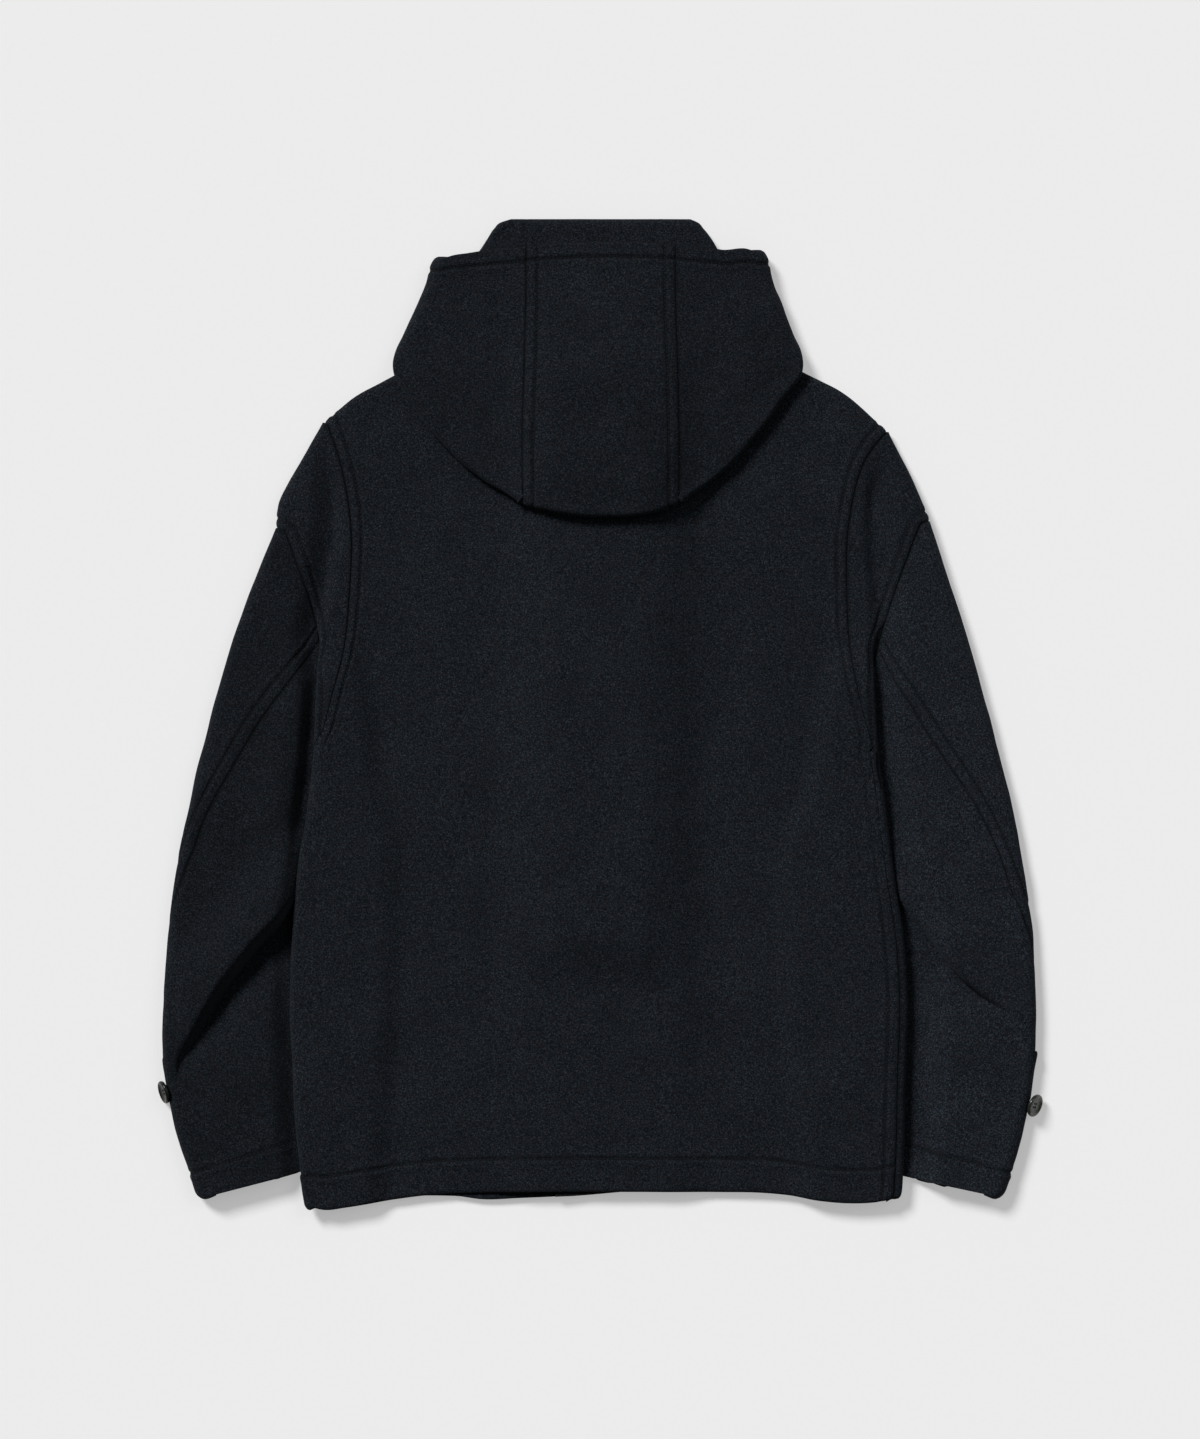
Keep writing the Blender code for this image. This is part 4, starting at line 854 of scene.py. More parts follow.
SLEEVE_CREASES = {
    "left": table(
        Crease,
        (((-275, 60), (-270, -20), (-268, -100), (-276, -165)), 14, 18, -1.2, 60),
        (((-276, 40), (-284, -50), (-295, -116)), 12, 16, 4.6, 45),
        (((-300, 90), (-318, 0), (-330, -100)), 22, 26, 0.9, 90),
        (((-352, -60), (-364, -150), (-370, -230)), 14, 12, -0.8, 60),
        (((-300, -60), (-320, -130), (-352, -205)), 11, 16, -0.9, 55),
        (((-285, -130), (-320, -175), (-362, -235)), 10, 12, 0.8, 40),
        (((-300, -300), (-330, -330), (-362, -345)), 12, 14, 0.8, 40),
        (((-290, -330), (-318, -362), (-340, -395)), 10, 13, -0.7, 40),
        (((-345, -370), (-352, -400), (-352, -424)), 9, 10, -0.6, 25),
    ),
    "right": table(
        Crease,
        (((272, 40), (276, -40), (284, -120), (300, -180)), 18, 14, -1.1, 60),
        (((300, 100), (318, 20), (328, -80)), 26, 22, 0.9, 90),
        (((346, -40), (358, -130), (368, -215)), 12, 14, -0.8, 60),
        (((290, -80), (318, -140), (350, -190)), 16, 11, -0.8, 55),
        (((300, -150), (326, -190), (362, -222)), 12, 10, 0.7, 40),
        (((300, -250), (322, -300), (350, -330)), 14, 12, 0.9, 45),
        (((284, -280), (300, -340), (330, -385)), 13, 10, -0.7, 45),
        (((350, -350), (346, -390), (344, -420)), 10, 9, -0.6, 30),
    ),
}
# The break's crest lies this far up from the line, and its steep drop ends this far below it.
CREST_INSET = {"left": 9.0, "right": 2.6}
FALL = {"left": 4.0, "right": 1.4}
RIDGE_WIDTH = 30.0
# Beside the body the sleeve falls off into a gutter: where its slope starts and how wide it is, by level.
GUTTERS = {
    "left": {
        "start": ((-420, 1.0), (-180, 1.0), (-125, 2.0), (-95, 5.0), (-20, 5.0), (30, 2.0), (60, 5.0)),
        "rise": (
            (-300, 20.0), (-180, 16.0), (-125, 12.0), (-95, 12.0), (-10, 12.0), (30, 16.0), (70, 26.0),
        ),
    },
    "right": {
        "start": ((-420, 11.0), (-300, 14.0), (-190, 14.0), (-130, 7.0), (0, 6.0), (60, 9.0)),
        "rise": ((-420, 26.0), (-200, 28.0), (-120, 24.0), (0, 22.0), (60, 28.0)),
    },
}


def elbow_break(side, x, y):
    """Height added by the elbow's break."""
    rows = ELBOW[side]
    points = np.array([(row.x, row.y) for row in rows])
    gap, place, hemward = nearest_on(points, x, y)
    gap = gap * np.where(hemward * -OUTWARD[side] > 0, 1.0, -1.0)
    starts = lengths_along(points)
    ridge, drop, back = (curve(starts, column(rows, name), place) for name in ("ridge", "drop", "back"))
    crest = gap + CREST_INSET[side]
    above = ridge * np.exp(-((np.minimum(crest, 0.0) / RIDGE_WIDTH) ** 2))
    fall = drop * smooth(crest / (CREST_INSET[side] + FALL[side])) ** 1.6
    recovered = np.exp(-(np.maximum(gap - FALL[side], 0.0) / back) ** 1.5)
    return np.where(crest > 0, (ridge - fall) * recovered, above)


def sleeve_top_height(side, x, y):
    """Middle height of the sleeve's upper face: low where the body lies on it."""
    clear = OUTWARD[side] * (x - body_edge(side, y))
    bare = HALF + LAYER + SLEEVE_CLEAR
    broken = elbow_break(side, x, y) * smooth((clear + 5.0) / 9.0)
    broken = broken + creased(SLEEVE_CREASES[side], x, y) * smooth((clear - 2.0) / 12.0)
    start, rise = (np.interp(y, *zip(*GUTTERS[side][name])) for name in ("start", "rise"))
    return np.maximum(bare + SLEEVE_LOFT * smooth((clear - start) / rise) + broken, bare - 0.4)


RING_FOLD, RING_FACE = 0.12, 0.38  # shares of a sleeve's ring that each folded edge and each face take
OUTER_FOLD = RING_FOLD + RING_FACE
UNDERSIDE = OUTER_FOLD + RING_FOLD
CUFF_CORNER = {"inner": 0.0, "outer": 8.0}  # radius of the cuff's corners
CORNER_SHARE = 0.33  # the last part of a section's length, over which they round off


def sleeve_edges(side, number):
    """Inner and outer edge points at section numbers, and which way each end bulges."""
    sections = SLEEVES[side]
    keys = np.arange(len(sections), dtype=float)

    def at(name, where):
        return curve(keys, column(sections, name), where)

    ends = {}
    for end in ("inner", "outer"):
        point = np.stack([at(f"{end}_x", number), at(f"{end}_y", number)], axis=-1)
        before = np.maximum(number - 0.5, 0.0)
        after = np.minimum(number + 0.5, keys[-1])
        run_x = at(f"{end}_x", after) - at(f"{end}_x", before)
        run_y = at(f"{end}_y", after) - at(f"{end}_y", before)
        away = np.stack([-run_y, run_x], axis=-1) * (1 if (side == "left") == (end == "inner") else -1)
        away = away / np.linalg.norm(away, axis=-1, keepdims=True)
        corner = np.clip((number - keys[-1]) / CORNER_SHARE + 1.0, 0.0, 1.0)
        inset = CUFF_CORNER[end] * (1 - np.sqrt(1 - corner**2))
        ends[end] = (point - away * inset[..., None], away)
    return ends, at("bow", number), at("seam", number)


def sleeve_points(side, number, around):
    """Places on a sleeve's rings: 0 under the inner edge, RING_FOLD on top of it, OUTER_FOLD and
    UNDERSIDE at the outer edge's top and bottom, and 1 back at the inner edge. number and around
    broadcast together."""
    number, around = np.broadcast_arrays(np.asarray(number, float), np.asarray(around, float))
    ends, bow, _ = sleeve_edges(side, number)
    inner, toward_inner = ends["inner"]
    outer, toward_outer = ends["outer"]
    width = np.linalg.norm(outer - inner, axis=-1, keepdims=True)
    along = (outer - inner) / width
    aside = np.stack([along[..., 1], -along[..., 0]], axis=-1)
    near_inner = inner + along * 4.0
    near_outer = outer - along * 6.0
    inner_radius = (sleeve_top_height(side, near_inner[..., 0], near_inner[..., 1]) - HALF) / 2
    outer_radius = (sleeve_top_height(side, near_outer[..., 0], near_outer[..., 1]) - HALF) / 2
    first = inner - toward_inner * (inner_radius + HALF)[..., None]
    last = outer - toward_outer * (outer_radius + HALF)[..., None]
    span = np.linalg.norm(last - first, axis=-1)

    def plan(t):
        return first + (last - first) * t[..., None] + aside * (bow * 4 * t * (1 - t))[..., None]

    t_top = np.clip((around - RING_FOLD) / RING_FACE, 0, 1)
    on_top = plan(t_top)
    z_top = sleeve_top_height(side, on_top[..., 0], on_top[..., 1])
    z_top += (HALF + 2 * inner_radius - z_top) * (1 - smooth(t_top * span / 5.0))
    z_top += (HALF + 2 * outer_radius - z_top) * (1 - smooth((1 - t_top) * span / 9.0))
    turn_in = math.pi * np.clip(around / RING_FOLD, 0, 1)
    on_inner = first + toward_inner * (inner_radius * np.sin(turn_in))[..., None]
    turn_out = math.pi * np.clip((around - OUTER_FOLD) / RING_FOLD, 0, 1)
    on_outer = last + toward_outer * (outer_radius * np.sin(turn_out))[..., None]
    below = plan(np.clip((1.0 - around) / RING_FACE, 0, 1))
    zone = [around < RING_FOLD, around < OUTER_FOLD, around < UNDERSIDE]
    x = np.select(zone, [on_inner[..., 0], on_top[..., 0], on_outer[..., 0]], below[..., 0])
    y = np.select(zone, [on_inner[..., 1], on_top[..., 1], on_outer[..., 1]], below[..., 1])
    z = np.select(zone, [HALF + inner_radius * (1 - np.cos(turn_in)), z_top,
                         HALF + outer_radius * (1 + np.cos(turn_out))], HALF)
    return np.stack([x, y, z], axis=-1)


def seam_around(seam):
    """The ring place of the back seam, from its place across: past 1 it runs underneath."""
    return np.select([seam <= 0.94, seam <= 1.06],
                     [RING_FOLD + RING_FACE * seam / 0.97, 0.488 + 0.15 * (seam - 0.94) / 0.12], 0.638)


SLEEVE_ROWS = np.concatenate([spread_over((0, 200), (13.0, 28), (14.65, 1))[:-1],
                              14.65 + 0.35 * np.sin(np.linspace(0, math.pi / 2, 14))])
ARC = np.linspace(OUTER_FOLD, UNDERSIDE, 15)  # ring places round the outer edge
CROWD = 0.0012  # the least space between columns, where the back seam crowds them
UNDER_STARTS = 0.035  # ring place where the inner panel starts, inside the inner edge
TOPSTITCHED = 0.036  # share of the ring that the seam's topstitching takes


def sleeve_under_columns(seam):
    """Ring places of the inner panel's columns, which run up to the back seam."""
    flat_end = np.minimum(seam - CROWD * len(ARC), 0.497)
    share = spread_over((0, 8), (0.09, 46), (0.9, 12), (1, 1))
    places = UNDER_STARTS + (flat_end - UNDER_STARTS)[:, None] * share
    crowded = seam[:, None] - CROWD * np.arange(len(ARC) - 1, -1, -1)
    return np.concatenate([places, np.minimum(ARC, crowded)], axis=1)


def sleeve_top_columns(seam):
    """Ring places of the outer panel's columns, from the back seam round and under the sleeve."""
    flat_end = np.maximum(0.497, seam + CROWD * 40)
    start = np.minimum(TOPSTITCHED, 0.55 * (flat_end - seam)) / (flat_end - seam)
    start = start[:, None]
    share = np.concatenate([start * np.linspace(0, 1, 17)[:-1],
                            start + (1 - start) * np.linspace(0, 1, 22)], axis=1)
    places = seam[:, None] + (flat_end - seam)[:, None] * share
    rest = np.concatenate([ARC[1:], np.linspace(0.64, 1.0, 24)])
    crowded = flat_end[:, None] + CROWD * (1 + np.arange(len(rest)))
    return np.concatenate([places, np.maximum(rest, crowded)], axis=1).clip(0, 1.0)


for side in ("left", "right"):
    number = SLEEVE_ROWS[:, None]
    seam = seam_around(sleeve_edges(side, SLEEVE_ROWS)[2])
    under = stitched_cloth(
        f"sleeve_inner_panel_{side}",
        sleeve_points(side, number, sleeve_under_columns(seam)),
        (Sewn("last row", CUFF_DEPTH, 0.7),),
        (Tuck("last column", 3.6, 3.2), Tuck("first row", 9.0, 3.4)),
        "round",
        21 if side == "left" else 22,
    )
    dress(under, lit_and_shaded_sleeve_wool[side], f"sleeve_under_{side}")
    top = stitched_cloth(
        f"sleeve_outer_panel_{side}",
        sleeve_points(side, number, sleeve_top_columns(seam + 0.0004)),
        (Sewn("first column", 11.0, 0.3), Sewn("last row", CUFF_DEPTH, 0.7)),
        (Tuck("first row", 9.0, 3.4),),
        "round",
        23 if side == "left" else 24,
    )
    dress(top, lit_and_shaded_sleeve_wool[side], f"sleeve_top_{side}")

# ---------------------------------------------------------------------------------------------
# Shoulder caps: the part of the dropped shoulder between the body's armhole seam and the sleeve,
# folded along the shoulder, with its sleeve edge stitched once.
# ---------------------------------------------------------------------------------------------
Cap = namedtuple("Cap", "level around")
CAPS = table(
    Cap,
    (-60.0, 0.165), (20.0, 0.25), (50.0, 0.305), (85.0, 0.365), (120.0, 0.425), (155.0, 0.475),
    (190.0, 0.492), (222.0, 0.496), (250.0, 0.499),
)
CAP_SEAM = 0.5  # a cap stands this far off the sleeve's first ring
CAP_VALLEY = {"left": -7.0, "right": -3.0}  # where it falls off beside the body's edge
UNDERARM_END = {"left": -39.0, "right": -37.2}
SHOULDER_FOLD = {  # the folded edge, from the armhole seam to the sleeve seam
    "left": ((-247.0, 258.0), (-268.0, 225.5), (-287.5, 192.5), (-291.5, 170.0)),
    "right": ((257.0, 250.0), (273.0, 223.5), (286.5, 196.5), (296.0, 173.0)),
}
CAP_PLACES = np.linspace(0.0, 1.0, 34)
UNSEEN = ((0.0, 0.0), (1.0, 0.0))  # a border that shows at no level


def cap_outer(side, around):
    """Places just above the sleeve's first ring."""
    around = np.asarray(around, float)
    ring = sleeve_points(side, 0.0, around)
    nearby = np.minimum(np.minimum(around, 1.12 - around), 0.48)
    before = sleeve_points(side, 0.0, np.maximum(nearby - 0.01, 0.125))
    after = sleeve_points(side, 0.0, np.maximum(nearby, 0.135))
    inward = np.stack([after[..., 1] - before[..., 1], before[..., 0] - after[..., 0], 0 * around], axis=-1)
    inward *= -OUTWARD[side] / np.linalg.norm(inward, axis=-1, keepdims=True)
    return ring + inward * CAP_SEAM


def cap_seam_place(side, level):
    """Where the cap meets the body at a level."""
    t = (level - LOWEST_LEVEL) / (HIGHEST_LEVEL - LOWEST_LEVEL)
    x = float(track(ARMHOLE, "y", side, level))
    rise = float(track(TOP, "x", "back", x)) - HIGHEST_LEVEL + SHOULDER_INSET
    return x + OUTWARD[side] * SEAM, level + rise * t**8


def cap_top_row(side, level):
    """A row across the cap: down off the body's plane, then up again to the sleeve's seam."""
    outward = OUTWARD[side]
    seam_x, seam_y = cap_seam_place(side, level)
    ring = cap_outer(side, float(track(CAPS, "level", "around", level)))
    x = seam_x + (ring[0] - seam_x) * CAP_PLACES
    y = seam_y + (ring[1] - seam_y) * CAP_PLACES
    clear = outward * (x - body_edge(side, y))
    low = sleeve_top_height(side, x, y)
    falls = smooth((clear - CAP_VALLEY[side]) / 13.0) * smooth(outward * (x - seam_x) / 14.0)
    falls = falls * (1 - 0.5 * smooth((y - 185.0) / 50.0))
    z = low + (back_height(x, y) - low) * (1 - falls)
    z = z + (ring[2] - z[-1]) * CAP_PLACES**3
    reaching = np.stack([x, y, z], axis=1)
    near, far = seam_arc(side, level)
    x, z = over_edge(side, level, near + SEAM + (far - near - SEAM) * CAP_PLACES)
    rolled_over = np.stack([x, np.full(x.shape, seam_y), z], axis=1)
    return rolled_over + (reaching - rolled_over) * smooth((level - 42.0) / 34.0)


def cap_under_row(side, level):
    """A row across the cap's underside."""
    seam_x, seam_y = cap_seam_place(side, level)
    outer = cap_outer(side, 1.12 - float(track(CAPS, "level", "around", level)))
    seam_place = np.array([seam_x, seam_y, front_height(side, seam_x, seam_y)], float)
    return seam_place + (outer - seam_place) * CAP_PLACES[:, None]


def cap_fold_row(side, angle, top_row, bottom_row):
    """A row on the cap's folded outer edge."""
    outward = OUTWARD[side]
    knots = np.array(SHOULDER_FOLD[side])
    keys = np.linspace(0, 1, len(knots))
    x = curve(keys, knots[:, 0], CAP_PLACES)
    y = curve(keys, knots[:, 1], CAP_PLACES)
    step = np.stack([np.gradient(x), np.gradient(y)], axis=1)
    out = np.stack([-step[:, 1], step[:, 0]], axis=1) * outward
    out /= np.linalg.norm(out, axis=1, keepdims=True)
    turn = math.radians(angle)
    top, bottom = top_row[:, 2], bottom_row[:, 2]
    radius = (top - bottom) / 2
    inset = radius + HALF - radius * math.sin(turn)
    row = np.stack([x - out[:, 0] * inset, y - out[:, 1] * inset,
                    (top + bottom) / 2 + radius * math.cos(turn)], axis=1)
    end = cap_outer(side, OUTER_FOLD + RING_FOLD * angle / 180)
    row += (end - row[-1]) * smooth((CAP_PLACES - 0.7) / 0.3)[:, None]
    tip = top_row[0, :2] + np.array([0.67 * outward, 0.74]) * radius[0] * math.sin(turn)
    row[:, :2] += (tip - row[0, :2]) * (1 - CAP_PLACES)[:, None] ** 3
    return row


for side in ("left", "right"):
    levels = steps_to((UNDERARM_END[side], 2.0), (20.0, 2.6), (HIGHEST_LEVEL, 1))
    middle = [cap_top_row(side, level) for level in levels]
    under = [cap_under_row(side, level) for level in np.linspace(50.0, HIGHEST_LEVEL, 30)]
    folded = [cap_fold_row(side, angle, middle[-1], under[-1]) for angle in np.linspace(0.0, 180.0, 17)]
    hidden = np.concatenate([np.interp(levels, (10.0, 50.0), (1.3, 5.0)),
                             np.full(len(folded) + len(under), 5.0)])
    cap = stitched_cloth(
        f"shoulder_cap_{side}",
        middle + folded + under[::-1],
        (Sewn("last column", 9.0, 0.3),),
        (Tuck("first column", hidden, 3.3), Tuck("first row", 5.0, 3.2)),
        "round",
        seed=31,
        rough=0.25,
        borders={"first column": LEFT_SEAM if side == "left" else RIGHT_SEAM, "first row": UNSEEN},
    )
    dress(cap, wool, f"cap_{side}")

# ---------------------------------------------------------------------------------------------
# Cuff straps: a short double strap of the same melton, sewn on round each sleeve's outer edge. Each
# holds a four-hole button of polished horn, with a raised rim, that leans on the sleeve.
# ---------------------------------------------------------------------------------------------
STRAP_SECTIONS = {"left": (9.1, 10.9), "right": (9.95, 11.7)}  # from its start to its end on the sleeve
STRAP_RISE = {"left": (0.5, 0.5, 0.6), "right": (2.6, 0.9, 0.8)}  # how far it stands off the sleeve


def strap_middle(side):
    """The strap's grid, which follows the sleeve's outer edge."""
    number = np.linspace(*STRAP_SECTIONS[side], 26)[:, None]
    around = np.linspace(0.54, 0.6, 15)[None, :]
    points = sleeve_points(side, number, around)
    centre = (sleeve_points(side, number, OUTER_FOLD) + sleeve_points(side, number, UNDERSIDE)) / 2
    away = points - centre
    away /= np.linalg.norm(away, axis=2, keepdims=True)
    rise = curve(np.array([0.0, 0.35, 1.0]), np.array(STRAP_RISE[side]), np.linspace(0, 1, 26))
    return points + away * rise[:, None, None]


for side in ("left", "right"):
    strap = stitched_cloth(f"cuff_strap_{side}", strap_middle(side), face="round", seed=51, rough=0.05)
    dress(strap, lit_and_shaded_sleeve_wool[side], f"cuff_tab_{side}")

# How each button leans: tilt is its slant from lying flat, and turned its turn from above, in degrees.
Lean = namedtuple("Lean", "x y tilt turned")
BUTTONS = {"left": Lean(-391.6, -340.6, 68.0, 17.0), "right": Lean(390.6, -352.6, 56.0, -21.0)}
BUTTON_RADIUS = 10.5
BUTTON_THICK = 4.0
BUTTON_FACE = (  # radius and height of the turned face, from the centre to the back
    (0.0, 0.15), (1.5, 0.15), (3.0, 0.18), (4.5, 0.3), (5.8, 0.6), (6.9, 1.05), (7.7, 1.55), (8.4, 1.9),
    (9.1, 2.0), (9.7, 1.8), (10.2, 1.3), (10.5, 0.5), (10.4, -0.5), (10.0, -1.3), (9.0, -1.8), (7.5, -2.0),
)
HOLES = 4
HOLE_PLACE, HOLE_RADIUS, HOLE_DEPTH = 2.3, 1.0, 1.7
RIM_START = 9.3
BUTTON_SHADE_TONE = (0.006, 0.007, 0.006)


def horn(name, dark, pale, rough, shine):
    """Polished horn: smoky, with long soft streaks, and painted shade where an attribute marks it."""
    finish = Finish(name)
    streaks = finish.noise(Scale=160.0, Detail=3.0, Distortion=1.2)
    hollow = finish.add("ShaderNodeAttribute", {"attribute_name": "hollow"}, output=2)
    color = finish.mixed(hollow, finish.ramp(streaks, (0.36, dark), (0.62, pale)), BUTTON_SHADE_TONE)
    finish.feed(Base_Color=color, Roughness=streaks * 0.1 + rough, Specular_IOR_Level=shine)
    return finish.material


# One horn for both buttons: the left copy is painted dark as shade, the right one paler, partly as its
# reflection.
button_horn_lit_and_shaded = {
    "left": horn("button horn painted dark as shade", (0.003, 0.0035, 0.003), (0.010, 0.012, 0.009), 0.18, 0.15),
    "right": horn("smoky button horn painted pale as reflection", (0.014, 0.016, 0.013), (0.110, 0.120, 0.098), 0.14, 0.4),
}


def button(side):
    """A turned button: rings of points round its axis, with the four holes sunk into its face. An
    attribute paints shade into the holes and onto the rim."""
    lean = BUTTONS[side]
    profile = np.array(BUTTON_FACE)
    lengths = lengths_along(profile)
    at = np.linspace(0.25, lengths[-1], 56)
    radius, height = (np.interp(at, lengths, values) for values in profile.T)
    angle = np.linspace(0, 2 * math.pi, 73)[:-1]
    x, y = np.outer(radius, np.cos(angle)), np.outer(radius, np.sin(angle))
    z = np.repeat(height[:, None], len(angle), axis=1)
    # Painted shade on the rim, and below in the holes.
    hollow = 0.85 * np.repeat(smooth((radius - RIM_START) / 0.8)[:, None], len(angle), axis=1)
    for hole in range(HOLES):
        turn = math.pi / HOLES + hole * 2 * math.pi / HOLES
        gap = np.hypot(x - HOLE_PLACE * math.cos(turn), y - HOLE_PLACE * math.sin(turn))
        sunk = smooth((HOLE_RADIUS + 0.25 - gap) / 0.5) * (height > 0)[:, None]
        z = z - HOLE_DEPTH * sunk
        hollow = np.maximum(hollow, sunk)
    tilt, spin = math.radians(lean.tilt), math.radians(lean.turned)
    outward = OUTWARD[side]
    rise = BUTTON_RADIUS * math.sin(tilt) + BUTTON_THICK / 2 * math.cos(tilt) + 0.3
    across = outward * (x * math.cos(tilt) + z * math.sin(tilt))
    lifted = z * math.cos(tilt) - x * math.sin(tilt) + rise
    placed = np.stack([lean.x + across * math.cos(spin) - y * math.sin(spin),
                       lean.y + across * math.sin(spin) + y * math.cos(spin), lifted], axis=2)
    rings, count = placed.shape[:2]
    index = np.arange(rings * count).reshape(rings, count)
    ahead = np.roll(index, -1, axis=1)
    faces = np.stack([index[:-1].ravel(), ahead[:-1].ravel(), ahead[1:].ravel(), index[1:].ravel()], axis=1)
    faces = faces[:, ::-outward].tolist()
    faces += [index[0][::outward].tolist(), index[-1][::-outward].tolist()]
    piece = new_piece(f"cuff_button_horn_{side}", placed.reshape(-1, 3), faces)
    piece.data.attributes.new("hollow", "FLOAT", "POINT").data.foreach_set("value", hollow.ravel())
    dress(piece, button_horn_lit_and_shaded[side], f"cuff_button_{side}")


for side in ("left", "right"):
    button(side)

# ---------------------------------------------------------------------------------------------
# Front fastening: four horn toggles, each tied to one front with cord, and the twisted cotton loops
# that hold them, sewn on the other. They lie between the fronts and the surface.
# ---------------------------------------------------------------------------------------------
toggle_horn = horn("brown toggle horn", (0.03, 0.015, 0.007), (0.20, 0.12, 0.06), 0.25, 0.5)
FASTENINGS = 4
cord = Finish("twisted cotton cord")
place = cord.add("ShaderNodeTexCoord", output=3)
strands = cord.add("ShaderNodeTexWave", {"bands_direction": "DIAGONAL"},
                   {"Vector": place, "Scale": 240.0, "Distortion": 1.0})
shade = cord.ramp(strands, (0.2, (0.002, 0.0025, 0.0035)), (0.8, (0.010, 0.012, 0.016)))
twist = cord.add("ShaderNodeBump", {}, {"Strength": 0.6, "Distance": 0.0008, "Height": strands})
cord.feed(Base_Color=shade, Roughness=0.85, Normal=twist)
for number in range(1, FASTENINGS + 1):
    for node, finish in ((f"toggle_{number}", toggle_horn), (f"loop_{number}", cord.material)):
        kept = bpy.data.objects[node]
        kept.data.materials.clear()
        kept.data.materials.append(finish)

# ---------------------------------------------------------------------------------------------
# Hood: a centre strip between two side panels, joined with double-stitched seams, turned back flat
# on the coat. Its face edge is hemmed, and its hidden layers show as a soft roll above that edge.
# ---------------------------------------------------------------------------------------------
HOOD_INNER = 7.0  # thickness of the hidden layers
HOOD_THINS = 0.42  # they thin out by this share toward the lower edges
HOOD_ROLL_TOP = 15.0  # height of the roll above the face edge
CROWN_LOFT = 0.8
HOOD_LOFT = 2.3  # air inside the hood
HOOD_CLEAR = 1.4  # and under it
SHOULDER_CLEAR = 4.0  # heights on the coat are read at least this far from its folded shoulders
FACE_BAND = 14.0
HOOD_SIDE = table(
    Side,
    (188.0, -66.0, 68.0), (196.0, -83.0, 84.0), (208.0, -104.0, 101.0), (222.0, -122.0, 117.0),
    (241.0, -141.0, 134.0), (261.0, -158.0, 150.0), (277.0, -168.5, 161.0), (291.0, -178.0, 172.0),
    (302.0, -184.5, 180.5), (313.0, -186.0, 182.5), (325.0, -183.5, 180.5), (340.0, -176.5, 174.0),
    (358.0, -168.0, 166.5), (376.0, -160.5, 160.0), (388.0, -155.0, 154.5), (401.0, -149.5, 148.5),
)
HOOD_SEAM = table(
    Side,
    (186.0, -69.0, 70.5), (210.0, -69.0, 71.0), (264.0, -68.8, 70.7), (300.0, -67.8, 70.0),
    (372.0, -66.3, 68.0), (424.0, -66.2, 68.0),
)
HOOD_SIDE_ENDS = {"left": -69.6, "right": 71.2}  # where the side panels' lower edges meet the strip
HOOD_SIDE_END_Y = 186.8
FaceEdge = namedtuple("FaceEdge", "x y")
HOOD_FACE = table(
    FaceEdge,
    (-149.5, 401.5), (-137.0, 409.0), (-117.0, 413.0), (-70.0, 419.0), (0.0, 423.0), (66.0, 421.0),
    (108.0, 416.0), (144.0, 408.0), (148.5, 401.5),
)
CROWN = table(
    FaceEdge,
    (-69.5, 187.0), (-45.0, 180.5), (-27.0, 177.0), (0.0, 175.0), (25.0, 175.5), (45.0, 178.0),
    (71.0, 187.0),
)
HOOD_UNDER = table(  # the hidden layers' side edges
    Side,
    (192.0, -52.0, 52.0), (202.0, -76.0, 72.0), (222.0, -106.0, 102.0), (250.0, -134.0, 128.0),
    (285.0, -160.0, 153.0), (313.0, -171.0, 167.0), (345.0, -160.0, 159.0), (375.0, -146.0, 146.0),
    (398.0, -124.0, 124.0), (414.0, -109.0, 107.5), (426.0, -101.0, 100.0), (435.0, -95.0, 93.0),
    (441.0, -88.0, 87.0), (443.5, -80.0, 81.0),
)
HOOD_CREASES = table(
    Crease,
    (((60, 396), (88, 345), (112, 300)), 26, 34, -1.7, 40),
    (((-40, 345), (-46, 322), (-54, 296)), 15, 17, -1.2, 20),
    (((-95, 385), (-104, 310), (-112, 232)), 26, 22, 1.0, 60),
    (((92, 300), (106, 258), (120, 214)), 20, 24, 1.2, 40),
    (((-150, 330), (-118, 345), (-80, 338)), 10, 15, -0.6, 35),
    (((-52, 205), (0, 198), (52, 204)), 12, 10, 0.8, 30),
    (((20, 380), (14, 320), (24, 262)), 16, 20, 0.7, 45),
)
ROLL_CREASES = table(
    Crease,
    (((-99, 421), (-88, 431), (-72, 441)), 3, 5, -1.6, 7),
    (((-90, 419), (-80, 427), (-69, 434)), 3, 4, -1.2, 6),
    (((96, 418), (88, 428), (80, 434)), 4, 3, -1.0, 6),
)


def shoulder_line(x):
    """Y of the body's folded shoulders, carried straight on beyond them."""
    return track(TOP, "x", "back", np.clip(x, -246.0, 257.0))


def hood_base(x, y):
    """Height of what the hood lies on: the back, or the bare surface above the shoulders."""
    beyond = y - shoulder_line(x)
    on_coat = 1 - smooth((beyond - 3.0) / 22.0)
    level = np.minimum(y, shoulder_line(x) - SHOULDER_CLEAR)
    return (back_height(x, level) + HALF + HOOD_CLEAR) * on_coat


def hood_inner_top(x, y):
    """Height of the hidden layers' top, under the visible layer."""
    loft = CROWN_LOFT * smooth((300.0 - y) / 110.0)
    level = np.minimum(y, shoulder_line(x) - SHOULDER_CLEAR)
    slanted = (y - 313.0 + (186.0 - np.abs(x)) * 1.04) / 1.44
    inner = HOOD_INNER * (1 - HOOD_THINS * (1 - smooth(np.minimum(slanted, y - 176.0) / 42.0)))
    on_coat = back_height(x, level) + HALF + HOOD_CLEAR + inner + loft
    return on_coat + (HOOD_ROLL_TOP - on_coat) * smooth((y - 285.0) / 150.0)


def hood_height(x, y):
    """Middle height of the hood's visible layer."""
    return hood_inner_top(x, y) + HALF + HOOD_LOFT + creased(HOOD_CREASES, x, y)


